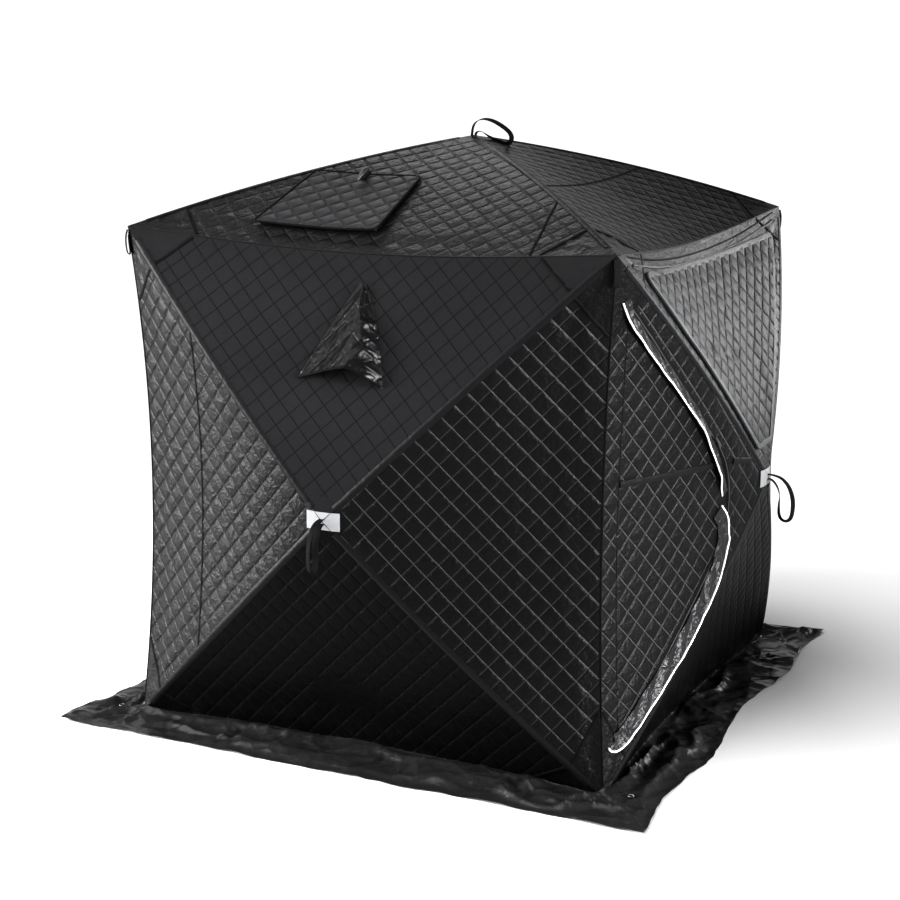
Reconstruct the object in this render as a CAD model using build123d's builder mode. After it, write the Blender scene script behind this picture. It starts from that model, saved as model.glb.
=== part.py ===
from build123d import *

import os
from math import radians, tan

# Pop-up hub shelter for ice fishing. Four walls and a roof are each pushed outwards by four
# poles that meet in a hub, and quilted triangles of fabric close the space between the poles.
# Millimetres, +Z up, origin on the floor under the roof hub. The front wall faces -Y and the
# door is in the right wall, +X. Each face is drawn from its corners, counter-clockwise as seen
# from outside, so panel number i lies between corners i and i + 1, and pole i ends at corner i.

# ---- driving dimensions -------------------------------------------------------------------
FLOOR_WIDTH = 1780  # corner to corner of the walls, 70 in
CORNER_HEIGHT = 1756
WALL_BULGE = 250  # how far a wall's hub stands out from its corners
ROOF_RISE = 291
HUB_HEIGHTS = {"front": 878, "right": 905, "back": 890, "left": 885}

PANEL_THICKNESS = 2.5  # quilted shell, insulation and lining, pressed flat
EDGE_INSET = 12  # from the corner line to the panel's outer edge, at its ends
EDGE_SAG = 38  # the same in the middle, where the fabric's tension draws it in
END_INSET = 45
SEAM_START = 70  # where the seams leave the corner, and the hub
SEAM_END = 80
SEAM_GAP_CORNER = 8  # half the gap over a pole: the panels come closer as the face snaps through
SEAM_GAP_HUB = 42

PIN_RADIUS = 3
PIN_REACH = 34  # hub axis to hinge pin
PIN_LENGTH = 20
PIN_CLEARANCE = 0.05
HUB_RADIUS = 24
HUB_HALF_HEIGHT = 11
HUB_CHAMFER = 1.5
EAR_PLACE = 30  # hub axis to the ear's middle
EAR_LENGTH = 25
EAR_THICKNESS = 4
EAR_OFFSET = 6.4
EAR_HALF_HEIGHT = 8
POLE_INSET = 24  # pole line to the outer face of the seam above it
POLE_RADIUS = 5.5
EYE_RADIUS = 8
TONGUE_LENGTH = 18
TONGUE_HEIGHT = 12.8
TONGUE_THICKNESS = 8
FERRULE_START = 14
FERRULE_LENGTH = 48
TIP_RETREAT = 85  # leaves the tip room to pass the corner as the face snaps through
BOOT_LENGTH = 34
BOOT_RADIUS = 7.5

SKIRT_REACH = 1110  # from the middle to the skirt's outer edge
SKIRT_THICKNESS = 3
SKIRT_SAG = 45
MITRE_GAP = 1
GROMMET_RADIUS = 6
GROMMET_PLACE = (985, 890)
SOCKET_INSET = 14
SOCKET_SIZE = 20
SOCKET_CORNER = 5

DOOR_HALF = 740
DOOR_POINT = 755  # where the straight sides would meet
DOOR_NOSE_RADIUS = 260
DOOR_FOOT = 45
DOOR_SAG = 58
DOOR_GAP = 5
SLIDER_START = 275  # along the side, from the point where the sides would meet
SLIDER_OFFSET = 15  # from the door's edge to the zip's middle
SLIDER_LIFT = 0.5
SLIDER_SIZE = (26, 13, 6)
SLIDER_CORNER = 4
PULL_LIFT = 0.4
PULL_SIZE = (42, 9, 2)
PULL_CORNER = 3

COVER_GAP = 3.2  # air between a panel and the flap that lies on it
COVER_THICKNESS = 2.5
COVER_HALF = 690
COVER_TOP = 72
COVER_TIP = 772
COVER_TIP_RADIUS = 28
PANE_INSET = 62
PANE_HALF_RATIO = 2.4  # how fast the triangle's half width and its tip shrink with the inset
PANE_TIP_RATIO = 1.5
PANE_GAP = 1
PANE_THICKNESS = 1
PANE_RADIUS = 40

FLAP_MIDDLE = -185
FLAP_HALF = 225
FLAP_LOW = 62
FLAP_HIGH = 490
FLAP_RADIUS = 12

HOOD_TOP = 140
HOOD_MOUTH = 465
HOOD_HALF = 158
HOOD_HEIGHT = 76
HOOD_SHELL = 3
HOOD_LIFT = 0.4  # clear of the panel it is sewn to
HOOD_NOSE = (14, 8)  # half width and height at the hood's closed upper end
HOOD_NOSE_SHELL = 12
HOOD_OVERRUN = 1  # takes the hollow past the mouth
STAY_PLACE = 392
STAY_LENGTH = 46
STAY_SIZE = (12, 4)
STAY_FOOT = 4.5

WEBBING_WIDTH = 20
WEBBING_THICKNESS = 2
BEND_SHARE = 0.45  # of each straight run, taken up by the bends at its two ends
# Pull straps: (distance out from the hub's face, distance up the wall), a limp loop that the
# webbing's own stiffness holds off the hub before it hangs.
WALL_STRAP = [(0, 7), (32, 7), (66, -3), (91, -30), (105, -66), (108, -100), (105, -132)]
WALL_STRAP += [(98, -149), (82, -156), (66, -149), (58, -131), (57, -98), (60, -64)]
WALL_STRAP += [(48, -30), (25, -7), (0, -7)]
# The roof's loop falls over to the right: (distance up from the hub's face, distance along +X).
ROOF_STRAP = [(0, -7), (34, -7), (62, 8), (73, 40), (66, 76), (50, 108), (32, 136), (14, 150)]
ROOF_STRAP += [(-6, 148), (-16, 131), (-10, 108), (0, 80), (14, 52), (27, 30), (26, 14)]
ROOF_STRAP += [(16, 7), (0, 7)]

HALF = FLOOR_WIDTH / 2


# ---- the five faces -----------------------------------------------------------------------
def wall(name, outward, rightward, sides):
    """A wall's hub foot, outward normal, bulge and named corners. sides are the neighbouring
    walls on the left and the right of someone who faces the wall from outside."""
    outward = Vector(*outward)
    rightward = Vector(*rightward)
    left_foot = outward * HALF - rightward * HALF
    right_foot = outward * HALF + rightward * HALF
    up = Vector(0, 0, CORNER_HEIGHT)
    return {
        "name": name,
        "foot": outward * HALF + Vector(0, 0, HUB_HEIGHTS[name]),
        "outward": outward,
        "bulge": WALL_BULGE,
        "corners": [left_foot, right_foot, right_foot + up, left_foot + up],
        "poles": [f"bottom_{sides[0]}", f"bottom_{sides[1]}", f"top_{sides[1]}", f"top_{sides[0]}"],
        "panels": ["bottom", sides[1], "top", sides[0]],
    }


ROOF = {
    "name": "roof",
    "foot": Vector(0, 0, CORNER_HEIGHT),
    "outward": Vector(0, 0, 1),
    "bulge": ROOF_RISE,
    "corners": [
        Vector(-HALF, -HALF, CORNER_HEIGHT),
        Vector(HALF, -HALF, CORNER_HEIGHT),
        Vector(HALF, HALF, CORNER_HEIGHT),
        Vector(-HALF, HALF, CORNER_HEIGHT),
    ],
    "poles": ["front_left", "front_right", "back_right", "back_left"],
    "panels": ["front", "right", "back", "left"],
}

FACES = [
    wall("front", (0, -1, 0), (1, 0, 0), ("left", "right")),
    wall("right", (1, 0, 0), (0, 1, 0), ("front", "back")),
    wall("back", (0, 1, 0), (-1, 0, 0), ("right", "left")),
    wall("left", (-1, 0, 0), (0, -1, 0), ("back", "front")),
    ROOF,
]


def save(part, label):
    """Labels a finished piece and writes its STEP file."""
    part.label = label
    export_step(part, f"parts/{label}.step")


# ---- fabric panels ------------------------------------------------------------------------
def panel_plane(face, number):
    """x along the panel's outer edge, y towards the hub, z outwards, origin mid-edge."""
    start = face["corners"][number]
    end = face["corners"][(number + 1) % 4]
    hub = face["foot"] + face["outward"] * face["bulge"]
    along = (end - start).normalized()
    return Plane(origin=(start + end) / 2, x_dir=along, z_dir=along.cross(hub - start))


def panel_apex(face, number):
    """The hub's place in the panel's own plane."""
    hub = face["foot"] + face["outward"] * face["bulge"]
    return panel_plane(face, number).to_local_coords(hub)


def seam(corner, apex, side):
    """The two ends of the panel's edge along one seam. side is 1 on the left, -1 on the right."""
    along = (apex - corner).normalized()
    inward = Vector(along.Y, -along.X) * side
    low = corner + along * SEAM_START + inward * SEAM_GAP_CORNER
    high = apex - along * SEAM_END + inward * SEAM_GAP_HUB
    return low, high


def panel_outline(width, apex):
    """A triangle with a drawn-in outer edge and its tip cut back round the hub."""
    left_low, left_high = seam(Vector(-width / 2, 0), apex, 1)
    right_low, right_high = seam(Vector(width / 2, 0), apex, -1)
    left_end = (END_INSET - width / 2, EDGE_INSET)
    right_end = (width / 2 - END_INSET, EDGE_INSET)
    with BuildLine() as outline:
        ThreePointArc(left_end, (0, EDGE_SAG), right_end)
        Polyline(right_end, right_low, right_high, left_high, left_low, left_end)
    return outline.edges()


def door_outline(margin, foot):
    """The door's D, grown by margin: two straight sides, a round nose and a base at foot."""
    side = Vector(DOOR_HALF, DOOR_POINT - DOOR_FOOT)
    point = DOOR_POINT + margin * side.length / side.X
    half = (point - foot) * side.X / side.Y
    nose = DOOR_NOSE_RADIUS + margin
    with BuildLine() as outline:
        FilletPolyline((-half, foot), (0, point), (half, foot), radius=nose)
        if margin:
            Line((half, foot), (-half, foot))
        else:
            ThreePointArc((half, foot), (0, DOOR_SAG), (-half, foot))
    return outline.edges()


def triangle_outline(inset, radius):
    """The window cover's downward triangle with round corners, drawn in by inset."""
    half = COVER_HALF - PANE_HALF_RATIO * inset
    top = COVER_TOP + inset
    tip = COVER_TIP - PANE_TIP_RATIO * inset
    with BuildLine() as outline:
        FilletPolyline((-half, top), (half, top), (0, tip), radius=radius, close=True)
    return outline.edges()


CUTS = {
    "right_panel_front": door_outline(DOOR_GAP, -EDGE_SAG),
    "right_panel_top": triangle_outline(PANE_INSET, PANE_RADIUS),
}

os.makedirs("parts", exist_ok=True)

for face in FACES:
    for number, side in enumerate(face["panels"]):
        label = f"{face['name']}_panel_{side}"
        width = (face["corners"][(number + 1) % 4] - face["corners"][number]).length
        with BuildPart() as panel:
            with BuildSketch(panel_plane(face, number)):
                make_face(panel_outline(width, panel_apex(face, number)))
                if label in CUTS:
                    make_face(CUTS[label], mode=Mode.SUBTRACT)
            extrude(amount=-PANEL_THICKNESS)
        save(panel.part, label)


# ---- poles and hubs -----------------------------------------------------------------------
for face in FACES:
    outward = face["outward"]
    hub_centre = face["foot"] + outward * (face["bulge"] - POLE_INSET)
    pin_planes = []
    for corner, end_name in zip(face["corners"], face["poles"]):
        radial = (corner - face["foot"]).normalized()
        tangent = outward.cross(radial)
        pin = hub_centre + radial * PIN_REACH
        run = corner - outward * POLE_INSET - pin
        direction = run.normalized()
        pin_planes.append(Plane(origin=pin, x_dir=radial, z_dir=tangent))
        # glass-fibre rod, its hinge ferrule at the hub end and a rubber boot at the tip
        with BuildPart() as pole:
            with BuildSketch(Plane(origin=pin, x_dir=direction, z_dir=tangent)):
                Circle(EYE_RADIUS)
                with Locations((TONGUE_LENGTH / 2, 0)):
                    Rectangle(TONGUE_LENGTH, TONGUE_HEIGHT)
                Circle(PIN_RADIUS + PIN_CLEARANCE, mode=Mode.SUBTRACT)
            extrude(amount=TONGUE_THICKNESS / 2, both=True)
            with BuildSketch(Plane(origin=pin + direction * FERRULE_START, z_dir=direction)):
                Circle(EYE_RADIUS)
            extrude(amount=FERRULE_LENGTH)
            with BuildSketch(Plane(origin=pin + direction * FERRULE_START, z_dir=direction)):
                Circle(POLE_RADIUS)
            extrude(amount=run.length - TIP_RETREAT - FERRULE_START)
            boot = pin + direction * (run.length - TIP_RETREAT - BOOT_LENGTH)
            with BuildSketch(Plane(origin=boot, z_dir=direction)):
                Circle(BOOT_RADIUS)
            extrude(amount=BOOT_LENGTH)
        save(pole.part, f"{face['name']}_pole_{end_name}")

    with BuildPart() as hub:
        with BuildSketch(Plane(origin=hub_centre, z_dir=outward)):
            Circle(HUB_RADIUS)
        extrude(amount=HUB_HALF_HEIGHT, both=True)
        chamfer(hub.edges().filter_by(GeomType.CIRCLE), length=HUB_CHAMFER)
        for pin_plane in pin_planes:
            with BuildSketch(Plane(origin=hub_centre, x_dir=pin_plane.x_dir, z_dir=outward)):
                with Locations((EAR_PLACE, EAR_OFFSET), (EAR_PLACE, -EAR_OFFSET)):
                    Rectangle(EAR_LENGTH, EAR_THICKNESS)
            extrude(amount=EAR_HALF_HEIGHT, both=True)
        for pin_plane in pin_planes:
            with BuildSketch(pin_plane):
                Circle(PIN_RADIUS + PIN_CLEARANCE)
            extrude(amount=PIN_LENGTH, both=True, mode=Mode.SUBTRACT)
        for pin_plane in pin_planes:
            with BuildSketch(pin_plane):
                Circle(PIN_RADIUS)
            extrude(amount=PIN_LENGTH / 2, both=True)
    save(hub.part, f"{face['name']}_hub")


# ---- pull straps --------------------------------------------------------------------------
def corner_radii(route):
    """The largest arc that each corner's two runs allow."""
    radii = []
    for before, corner, after in zip(route, route[1:], route[2:]):
        run_in = Vector(*corner) - Vector(*before)
        run_out = Vector(*after) - Vector(*corner)
        half_turn = radians(run_in.get_angle(run_out)) / 2
        radii.append(BEND_SHARE * min(run_in.length, run_out.length) / tan(half_turn))
    return radii


for face in FACES:
    outward = face["outward"]
    route = ROOF_STRAP if face is ROOF else WALL_STRAP
    upward = Vector(1, 0, 0) if face is ROOF else Vector(0, 0, 1)
    exit_place = face["foot"] + outward * (face["bulge"] - POLE_INSET + HUB_HALF_HEIGHT)
    radii = corner_radii(route)
    with BuildPart() as strap:
        with BuildSketch(Plane(origin=exit_place, x_dir=outward, z_dir=outward.cross(upward))):
            with BuildLine() as strap_line:
                FilletPolyline(*route, radius=radii)
            trace(line_width=WEBBING_THICKNESS)
        extrude(amount=WEBBING_WIDTH / 2, both=True)
    save(strap.part, f"{face['name']}_pull_strap")
    length = sum(edge.length for edge in strap_line.line.edges())
    print(f"{face['name']} strap: length {length:.1f}, radii {[round(r) for r in radii]}")


# ---- snow skirt and corner sockets --------------------------------------------------------
with BuildPart() as skirt:
    for quarter in range(4):
        with BuildSketch(Plane.XY.rotated((0, 0, 90 * quarter))):
            inner = HALF - MITRE_GAP
            outer = SKIRT_REACH - MITRE_GAP
            with BuildLine():
                ThreePointArc((-inner, -HALF), (0, SKIRT_SAG - HALF), (inner, -HALF))
                Polyline((inner, -HALF), (outer, -SKIRT_REACH), (-outer, -SKIRT_REACH), (-inner, -HALF))
            make_face()
        extrude(amount=SKIRT_THICKNESS)
    grommet_x, grommet_y = GROMMET_PLACE
    with GridLocations(2 * grommet_x, 2 * grommet_y, 2, 2):
        Cylinder(GROMMET_RADIUS, 4 * SKIRT_THICKNESS, mode=Mode.SUBTRACT)
save(skirt.part, "snow_skirt")

socket_spread = FLOOR_WIDTH - 2 * SOCKET_INSET
socket_levels = (SOCKET_INSET, CORNER_HEIGHT - SOCKET_INSET)
with BuildPart() as sockets:
    for level in socket_levels:
        with BuildSketch(Plane.XY.offset(level - SOCKET_SIZE / 2)):
            with GridLocations(socket_spread, socket_spread, 2, 2):
                RectangleRounded(SOCKET_SIZE, SOCKET_SIZE, SOCKET_CORNER)
        extrude(amount=SOCKET_SIZE)
save(sockets.part, "corner_sockets")


# ---- door, zip sliders, window ------------------------------------------------------------
RIGHT = FACES[1]
door_plane = panel_plane(RIGHT, 3)
window_plane = panel_plane(RIGHT, 2)

with BuildPart() as door:
    with BuildSketch(door_plane):
        make_face(door_outline(0, DOOR_FOOT))
    extrude(amount=-PANEL_THICKNESS)
save(door.part, "door")

# The panel's x runs down the wall, so the upper side of the door is at negative x.
for label, down in (("zip_slider_upper", -1), ("zip_slider_lower", 1)):
    side_run = Vector(down * DOOR_HALF, DOOR_FOOT - DOOR_POINT).normalized()
    away = Vector(-side_run.Y * down, side_run.X * down)
    place = Vector(0, DOOR_POINT) + side_run * SLIDER_START + away * SLIDER_OFFSET
    length, breadth, height = SLIDER_SIZE
    pull_length, pull_breadth, pull_height = PULL_SIZE
    slider_plane = Plane(
        origin=door_plane.from_local_coords(Vector(place.X, place.Y, SLIDER_LIFT)),
        x_dir=door_plane.x_dir * side_run.X + door_plane.y_dir * side_run.Y,
        z_dir=door_plane.z_dir,
    )
    with BuildPart() as slider:
        with BuildSketch(slider_plane):
            RectangleRounded(length, breadth, SLIDER_CORNER)
        extrude(amount=height)
        with BuildSketch(slider_plane.offset(height + PULL_LIFT)):
            with Locations((pull_length / 2, 0)):
                RectangleRounded(pull_length, pull_breadth, PULL_CORNER)
        extrude(amount=pull_height)
    save(slider.part, label)

with BuildPart() as cover:
    with BuildSketch(window_plane.offset(COVER_GAP)):
        make_face(triangle_outline(0, COVER_TIP_RADIUS))
    extrude(amount=COVER_THICKNESS)
save(cover.part, "window_cover")

with BuildPart() as pane:
    with BuildSketch(window_plane.offset(-PANE_GAP)):
        make_face(triangle_outline(PANE_INSET + PANE_GAP, PANE_RADIUS))
    extrude(amount=-PANE_THICKNESS)
save(pane.part, "window_pane")


# ---- roof vent flap -----------------------------------------------------------------------
with BuildPart() as flap:
    with BuildSketch(panel_plane(ROOF, 0).offset(COVER_GAP)):
        with Locations((FLAP_MIDDLE, (FLAP_LOW + FLAP_HIGH) / 2)):
            RectangleRounded(2 * FLAP_HALF, FLAP_HIGH - FLAP_LOW, FLAP_RADIUS)
    extrude(amount=COVER_THICKNESS)
save(flap.part, "roof_vent_flap")


# ---- front vent: a hood with its mouth down, and the stay that holds it open --------------
FRONT = FACES[0]
hood_plane = panel_plane(FRONT, 2)
nose_half, nose_height = HOOD_NOSE
# each section: distance down from the panel's upper edge, half width, height off the panel
HOOD_OUTSIDE = [(HOOD_TOP, nose_half, nose_height), (HOOD_MOUTH, HOOD_HALF, HOOD_HEIGHT)]
HOOD_INSIDE = [
    (HOOD_TOP + HOOD_NOSE_SHELL, nose_half - HOOD_SHELL, nose_height - HOOD_SHELL),
    (HOOD_MOUTH + HOOD_OVERRUN, HOOD_HALF - HOOD_SHELL, HOOD_HEIGHT - HOOD_SHELL),
]

with BuildPart() as hood:
    for sections, mode in ((HOOD_OUTSIDE, Mode.ADD), (HOOD_INSIDE, Mode.SUBTRACT)):
        for down_wall, half, height in sections:
            origin = hood_plane.from_local_coords(Vector(0, down_wall, HOOD_LIFT))
            with BuildSketch(Plane(origin=origin, x_dir=hood_plane.x_dir, z_dir=hood_plane.y_dir)):
                with BuildLine():
                    ThreePointArc((-half, 0), (0, -height), (half, 0))
                    Line((half, 0), (-half, 0))
                make_face()
        loft(mode=mode)
save(hood.part, "front_vent_hood")

stay_width, stay_depth = STAY_SIZE
with BuildPart() as stay:
    stay_origin = hood_plane.from_local_coords(Vector(0, STAY_PLACE, STAY_FOOT))
    with BuildSketch(Plane(origin=stay_origin, x_dir=hood_plane.x_dir, z_dir=hood_plane.z_dir)):
        Rectangle(stay_width, stay_depth)
    extrude(amount=STAY_LENGTH)
save(stay.part, "front_vent_stay")
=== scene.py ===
import math

import bmesh
import bpy
import numpy as np
from mathutils import Matrix, Vector


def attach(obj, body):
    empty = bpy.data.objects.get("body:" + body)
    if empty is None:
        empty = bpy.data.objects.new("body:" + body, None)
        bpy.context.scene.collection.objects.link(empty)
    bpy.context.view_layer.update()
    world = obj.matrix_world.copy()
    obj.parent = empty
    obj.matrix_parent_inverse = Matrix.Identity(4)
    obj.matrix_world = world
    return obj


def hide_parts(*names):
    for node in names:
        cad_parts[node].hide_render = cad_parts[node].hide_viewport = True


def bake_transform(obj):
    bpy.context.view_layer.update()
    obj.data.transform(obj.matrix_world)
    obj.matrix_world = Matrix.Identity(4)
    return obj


# Pop-up hub shelter for ice fishing. Metres, +Z up, origin on the floor under the roof hub.
# A point on a fabric panel is given as (u, v): u along the panel's outer edge from its middle,
# v from that edge towards the hub. Panel number i lies between corners i and i + 1 of its face,
# counter-clockwise as seen from outside.

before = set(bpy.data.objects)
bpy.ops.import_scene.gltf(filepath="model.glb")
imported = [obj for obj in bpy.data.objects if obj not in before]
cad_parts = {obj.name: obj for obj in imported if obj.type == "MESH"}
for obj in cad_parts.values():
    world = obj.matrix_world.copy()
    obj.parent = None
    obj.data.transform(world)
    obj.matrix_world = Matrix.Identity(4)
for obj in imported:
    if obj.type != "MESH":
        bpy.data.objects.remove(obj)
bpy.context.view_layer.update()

HALF = 0.89
CORNER_HEIGHT = 1.756
WALL_BULGE = 0.25
ROOF_RISE = 0.291
HUB_HEIGHTS = {"front": 0.878, "right": 0.905, "back": 0.890, "left": 0.885}
WALL_BOW = 0.026  # how far a bent pole pushes its seam out between corner and hub
ROOF_BOW = 0.026
CORNER_DRAW = 0.042  # how far the fabric's tension draws an edge in at its middle
EAVE_DRAW = 0.045
EAVE_DROP = 0.048
BASE_DRAW = 0.045
POLE_INSET = 0.024  # depth of the poles and hubs behind the fabric's plane
PIN_REACH = 0.034  # from a hub's axis to the pins of its poles
HUB_HALF_HEIGHT = 0.011
LATTICE = 48  # steps along a panel's seam in the mesh that its tension is solved on
CELL = 0.058  # side of a quilted cell
STITCHES_PER_CELL = 15.0
# where a cell's mesh lines lie across it, as shares of its side
QUILT_STEPS = (0.0, 0.05, 0.2, 0.5, 0.8, 0.95)
PUFF = 0.0019  # height of a quilted cell above its stitching
FABRIC_THICKNESS = 0.006
SKIRT_REACH = 1.104
SKIRT_WIDTH = 0.22
SKIRT_TUCK = 0.010  # how far the skirt starts behind the wall
STRAP_WIDTH = 0.020
DOOR_SIDE = (0.740, -0.710)  # the run of the door's right side from its point, not yet unit length
DOOR_POINT = 0.755  # where the door's sides would meet
DOOR_NOSE = 0.260  # radius of its rounded nose
TAG_CENTRE = (-0.02, 0.235)  # the plain rectangle in the front bottom triangle's quilting
TAG_HALF = (0.125, 0.055)
ROD_RADIUS = 0.0055
FERRULE_LENGTH = 0.050
SEAM_WIDTH = 0.026  # of the sewn rib over a pole
SEAM_HEIGHT = 0.0024
EDGE_PIPING = 0.0028  # radius
GROMMET_AT = (0.985, 0.890)
GROMMET_RADIUS = 0.0095
HOOD_ROWS = 64
HOOD_COLUMNS = 72
COVER_BEND = (0.074, 0.12)  # where the window cover starts to turn with its hinge, and where it does fully
FLAP_BEND = (0.490, 0.455)  # the same for the roof flap, whose hinge is nearer the hub
FLOOR_LEVEL = -0.0005
FLOOR_RADIUS = 40


# ---- small mathematics --------------------------------------------------------------------
def vec(*values):
    return np.array(values, float)


def unit(v):
    return v / np.linalg.norm(v)


def smooth(x, low, high):
    t = np.clip((x - low) / (high - low), 0, 1)
    return t * t * (3 - 2 * t)


def around(count):
    """Equal turns of a circle, in radians."""
    return np.arange(count) / count * 2 * math.pi


def lattice_value(ix, iy, iz, seed):
    """A repeatable pseudo-random number from -1 to 1 for each lattice point."""
    h = (ix * 374761393 + iy * 668265263 + iz * 1442695041 + seed * 1274126177) & 0xFFFFFFFF
    h = ((h ^ (h >> 13)) * 1274126177) & 0xFFFFFFFF
    h = h ^ (h >> 16)
    return (h & 0xFFFF) / 32767.5 - 1


def noise(points, scale, seed=0):
    """Smooth value noise. points is n by 2 or n by 3, scale a number or one for each axis."""
    p = np.asarray(points, float) * scale
    if p.shape[1] == 2:
        p = np.column_stack([p, np.zeros(len(p))])
    i = np.floor(p).astype(np.int64)
    f = p - i
    f = f * f * f * (f * (f * 6 - 15) + 10)
    total = np.zeros(len(p))
    for dx in (0, 1):
        wx = f[:, 0] if dx else 1 - f[:, 0]
        for dy in (0, 1):
            wy = f[:, 1] if dy else 1 - f[:, 1]
            for dz in (0, 1):
                wz = f[:, 2] if dz else 1 - f[:, 2]
                total += wx * wy * wz * lattice_value(i[:, 0] + dx, i[:, 1] + dy, i[:, 2] + dz, seed)
    return total


def fbm(points, scale, octaves, seed=0):
    total = 0
    size = 1.0
    for octave in range(octaves):
        total = total + size * noise(points, scale * 2.03**octave, seed + 17 * octave)
        size *= 0.5
    return total


def ridged(points, scale, octaves, seed=0):
    """Noise with sharp crests, as in crumpled cloth: 0 in the hollows, 1 on a crest."""
    total = 0
    size = 0.6
    for octave in range(octaves):
        n = noise(points, scale * 2.1**octave, seed + 31 * octave)
        total = total + size * (1 - np.abs(n)) ** 2.2
        size *= 0.5
    return total


# ---- the five faces -----------------------------------------------------------------------
def wall(name, out, right, sides):
    out = vec(*out)
    right = vec(*right)
    up = vec(0, 0, CORNER_HEIGHT)
    left_foot = out * HALF - right * HALF
    right_foot = out * HALF + right * HALF
    return {
        "name": name,
        "foot": out * HALF + vec(0, 0, HUB_HEIGHTS[name]),
        "out": out,
        "bulge": WALL_BULGE,
        "bow": WALL_BOW,
        "corners": [left_foot, right_foot, right_foot + up, left_foot + up],
        "poles": [f"bottom_{sides[0]}", f"bottom_{sides[1]}", f"top_{sides[1]}", f"top_{sides[0]}"],
        "panels": ["bottom", sides[1], "top", sides[0]],
    }


ROOF = {
    "name": "roof",
    "foot": vec(0, 0, CORNER_HEIGHT),
    "out": vec(0, 0, 1),
    "bulge": ROOF_RISE,
    "bow": ROOF_BOW,
    "corners": [
        vec(-HALF, -HALF, CORNER_HEIGHT),
        vec(HALF, -HALF, CORNER_HEIGHT),
        vec(HALF, HALF, CORNER_HEIGHT),
        vec(-HALF, HALF, CORNER_HEIGHT),
    ],
    "poles": ["front_left", "front_right", "back_right", "back_left"],
    "panels": ["front", "right", "back", "left"],
}
FACES = [
    wall("front", (0, -1, 0), (1, 0, 0), ("left", "right")),
    wall("right", (1, 0, 0), (0, 1, 0), ("front", "back")),
    wall("back", (0, 1, 0), (-1, 0, 0), ("right", "left")),
    wall("left", (-1, 0, 0), (0, -1, 0), ("back", "front")),
    ROOF,
]


def hub_point(face):
    return face["foot"] + face["out"] * face["bulge"]


def edge_shift(a, b, share):
    """How far an edge from corner a to corner b is drawn away from the straight line."""
    mid = (a + b) / 2
    inward = -np.array([np.sign(mid[0]) * (abs(mid[0]) > 0.1), np.sign(mid[1]) * (abs(mid[1]) > 0.1), 0])
    arc = 4 * share * (1 - share)
    if abs(a[2] - b[2]) > 0.1:
        return np.outer(arc, inward * CORNER_DRAW)
    if mid[2] > 0.1:
        return np.outer(arc**1.25, inward * EAVE_DRAW + vec(0, 0, -EAVE_DROP))
    return np.outer(arc, inward * BASE_DRAW)


def seam_curve(face, corner, share):
    """Points on the seam over a pole. share is 0 at the corner and 1 at the hub."""
    share = np.asarray(share, float)
    line = corner + np.outer(share, hub_point(face) - corner)
    return line + np.outer(face["bow"] * 4 * share * (1 - share), face["out"])


def tension_solver():
    """The inside points of a triangular lattice, and the matrix that spreads its border to them."""
    within = [(i, j) for i in range(1, LATTICE) for j in range(1, LATTICE - i)]
    index = {p: k for k, p in enumerate(within)}
    matrix = np.zeros((len(within), len(within)))
    border = []
    for k, (i, j) in enumerate(within):
        matrix[k, k] = 4
        for q in ((i + 1, j), (i - 1, j), (i, j + 1), (i, j - 1)):
            if q in index:
                matrix[k, index[q]] = -1
            else:
                border.append((k, *q))
    return within, np.linalg.inv(matrix), border


INSIDE, SPREAD, BORDER = tension_solver()


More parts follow.
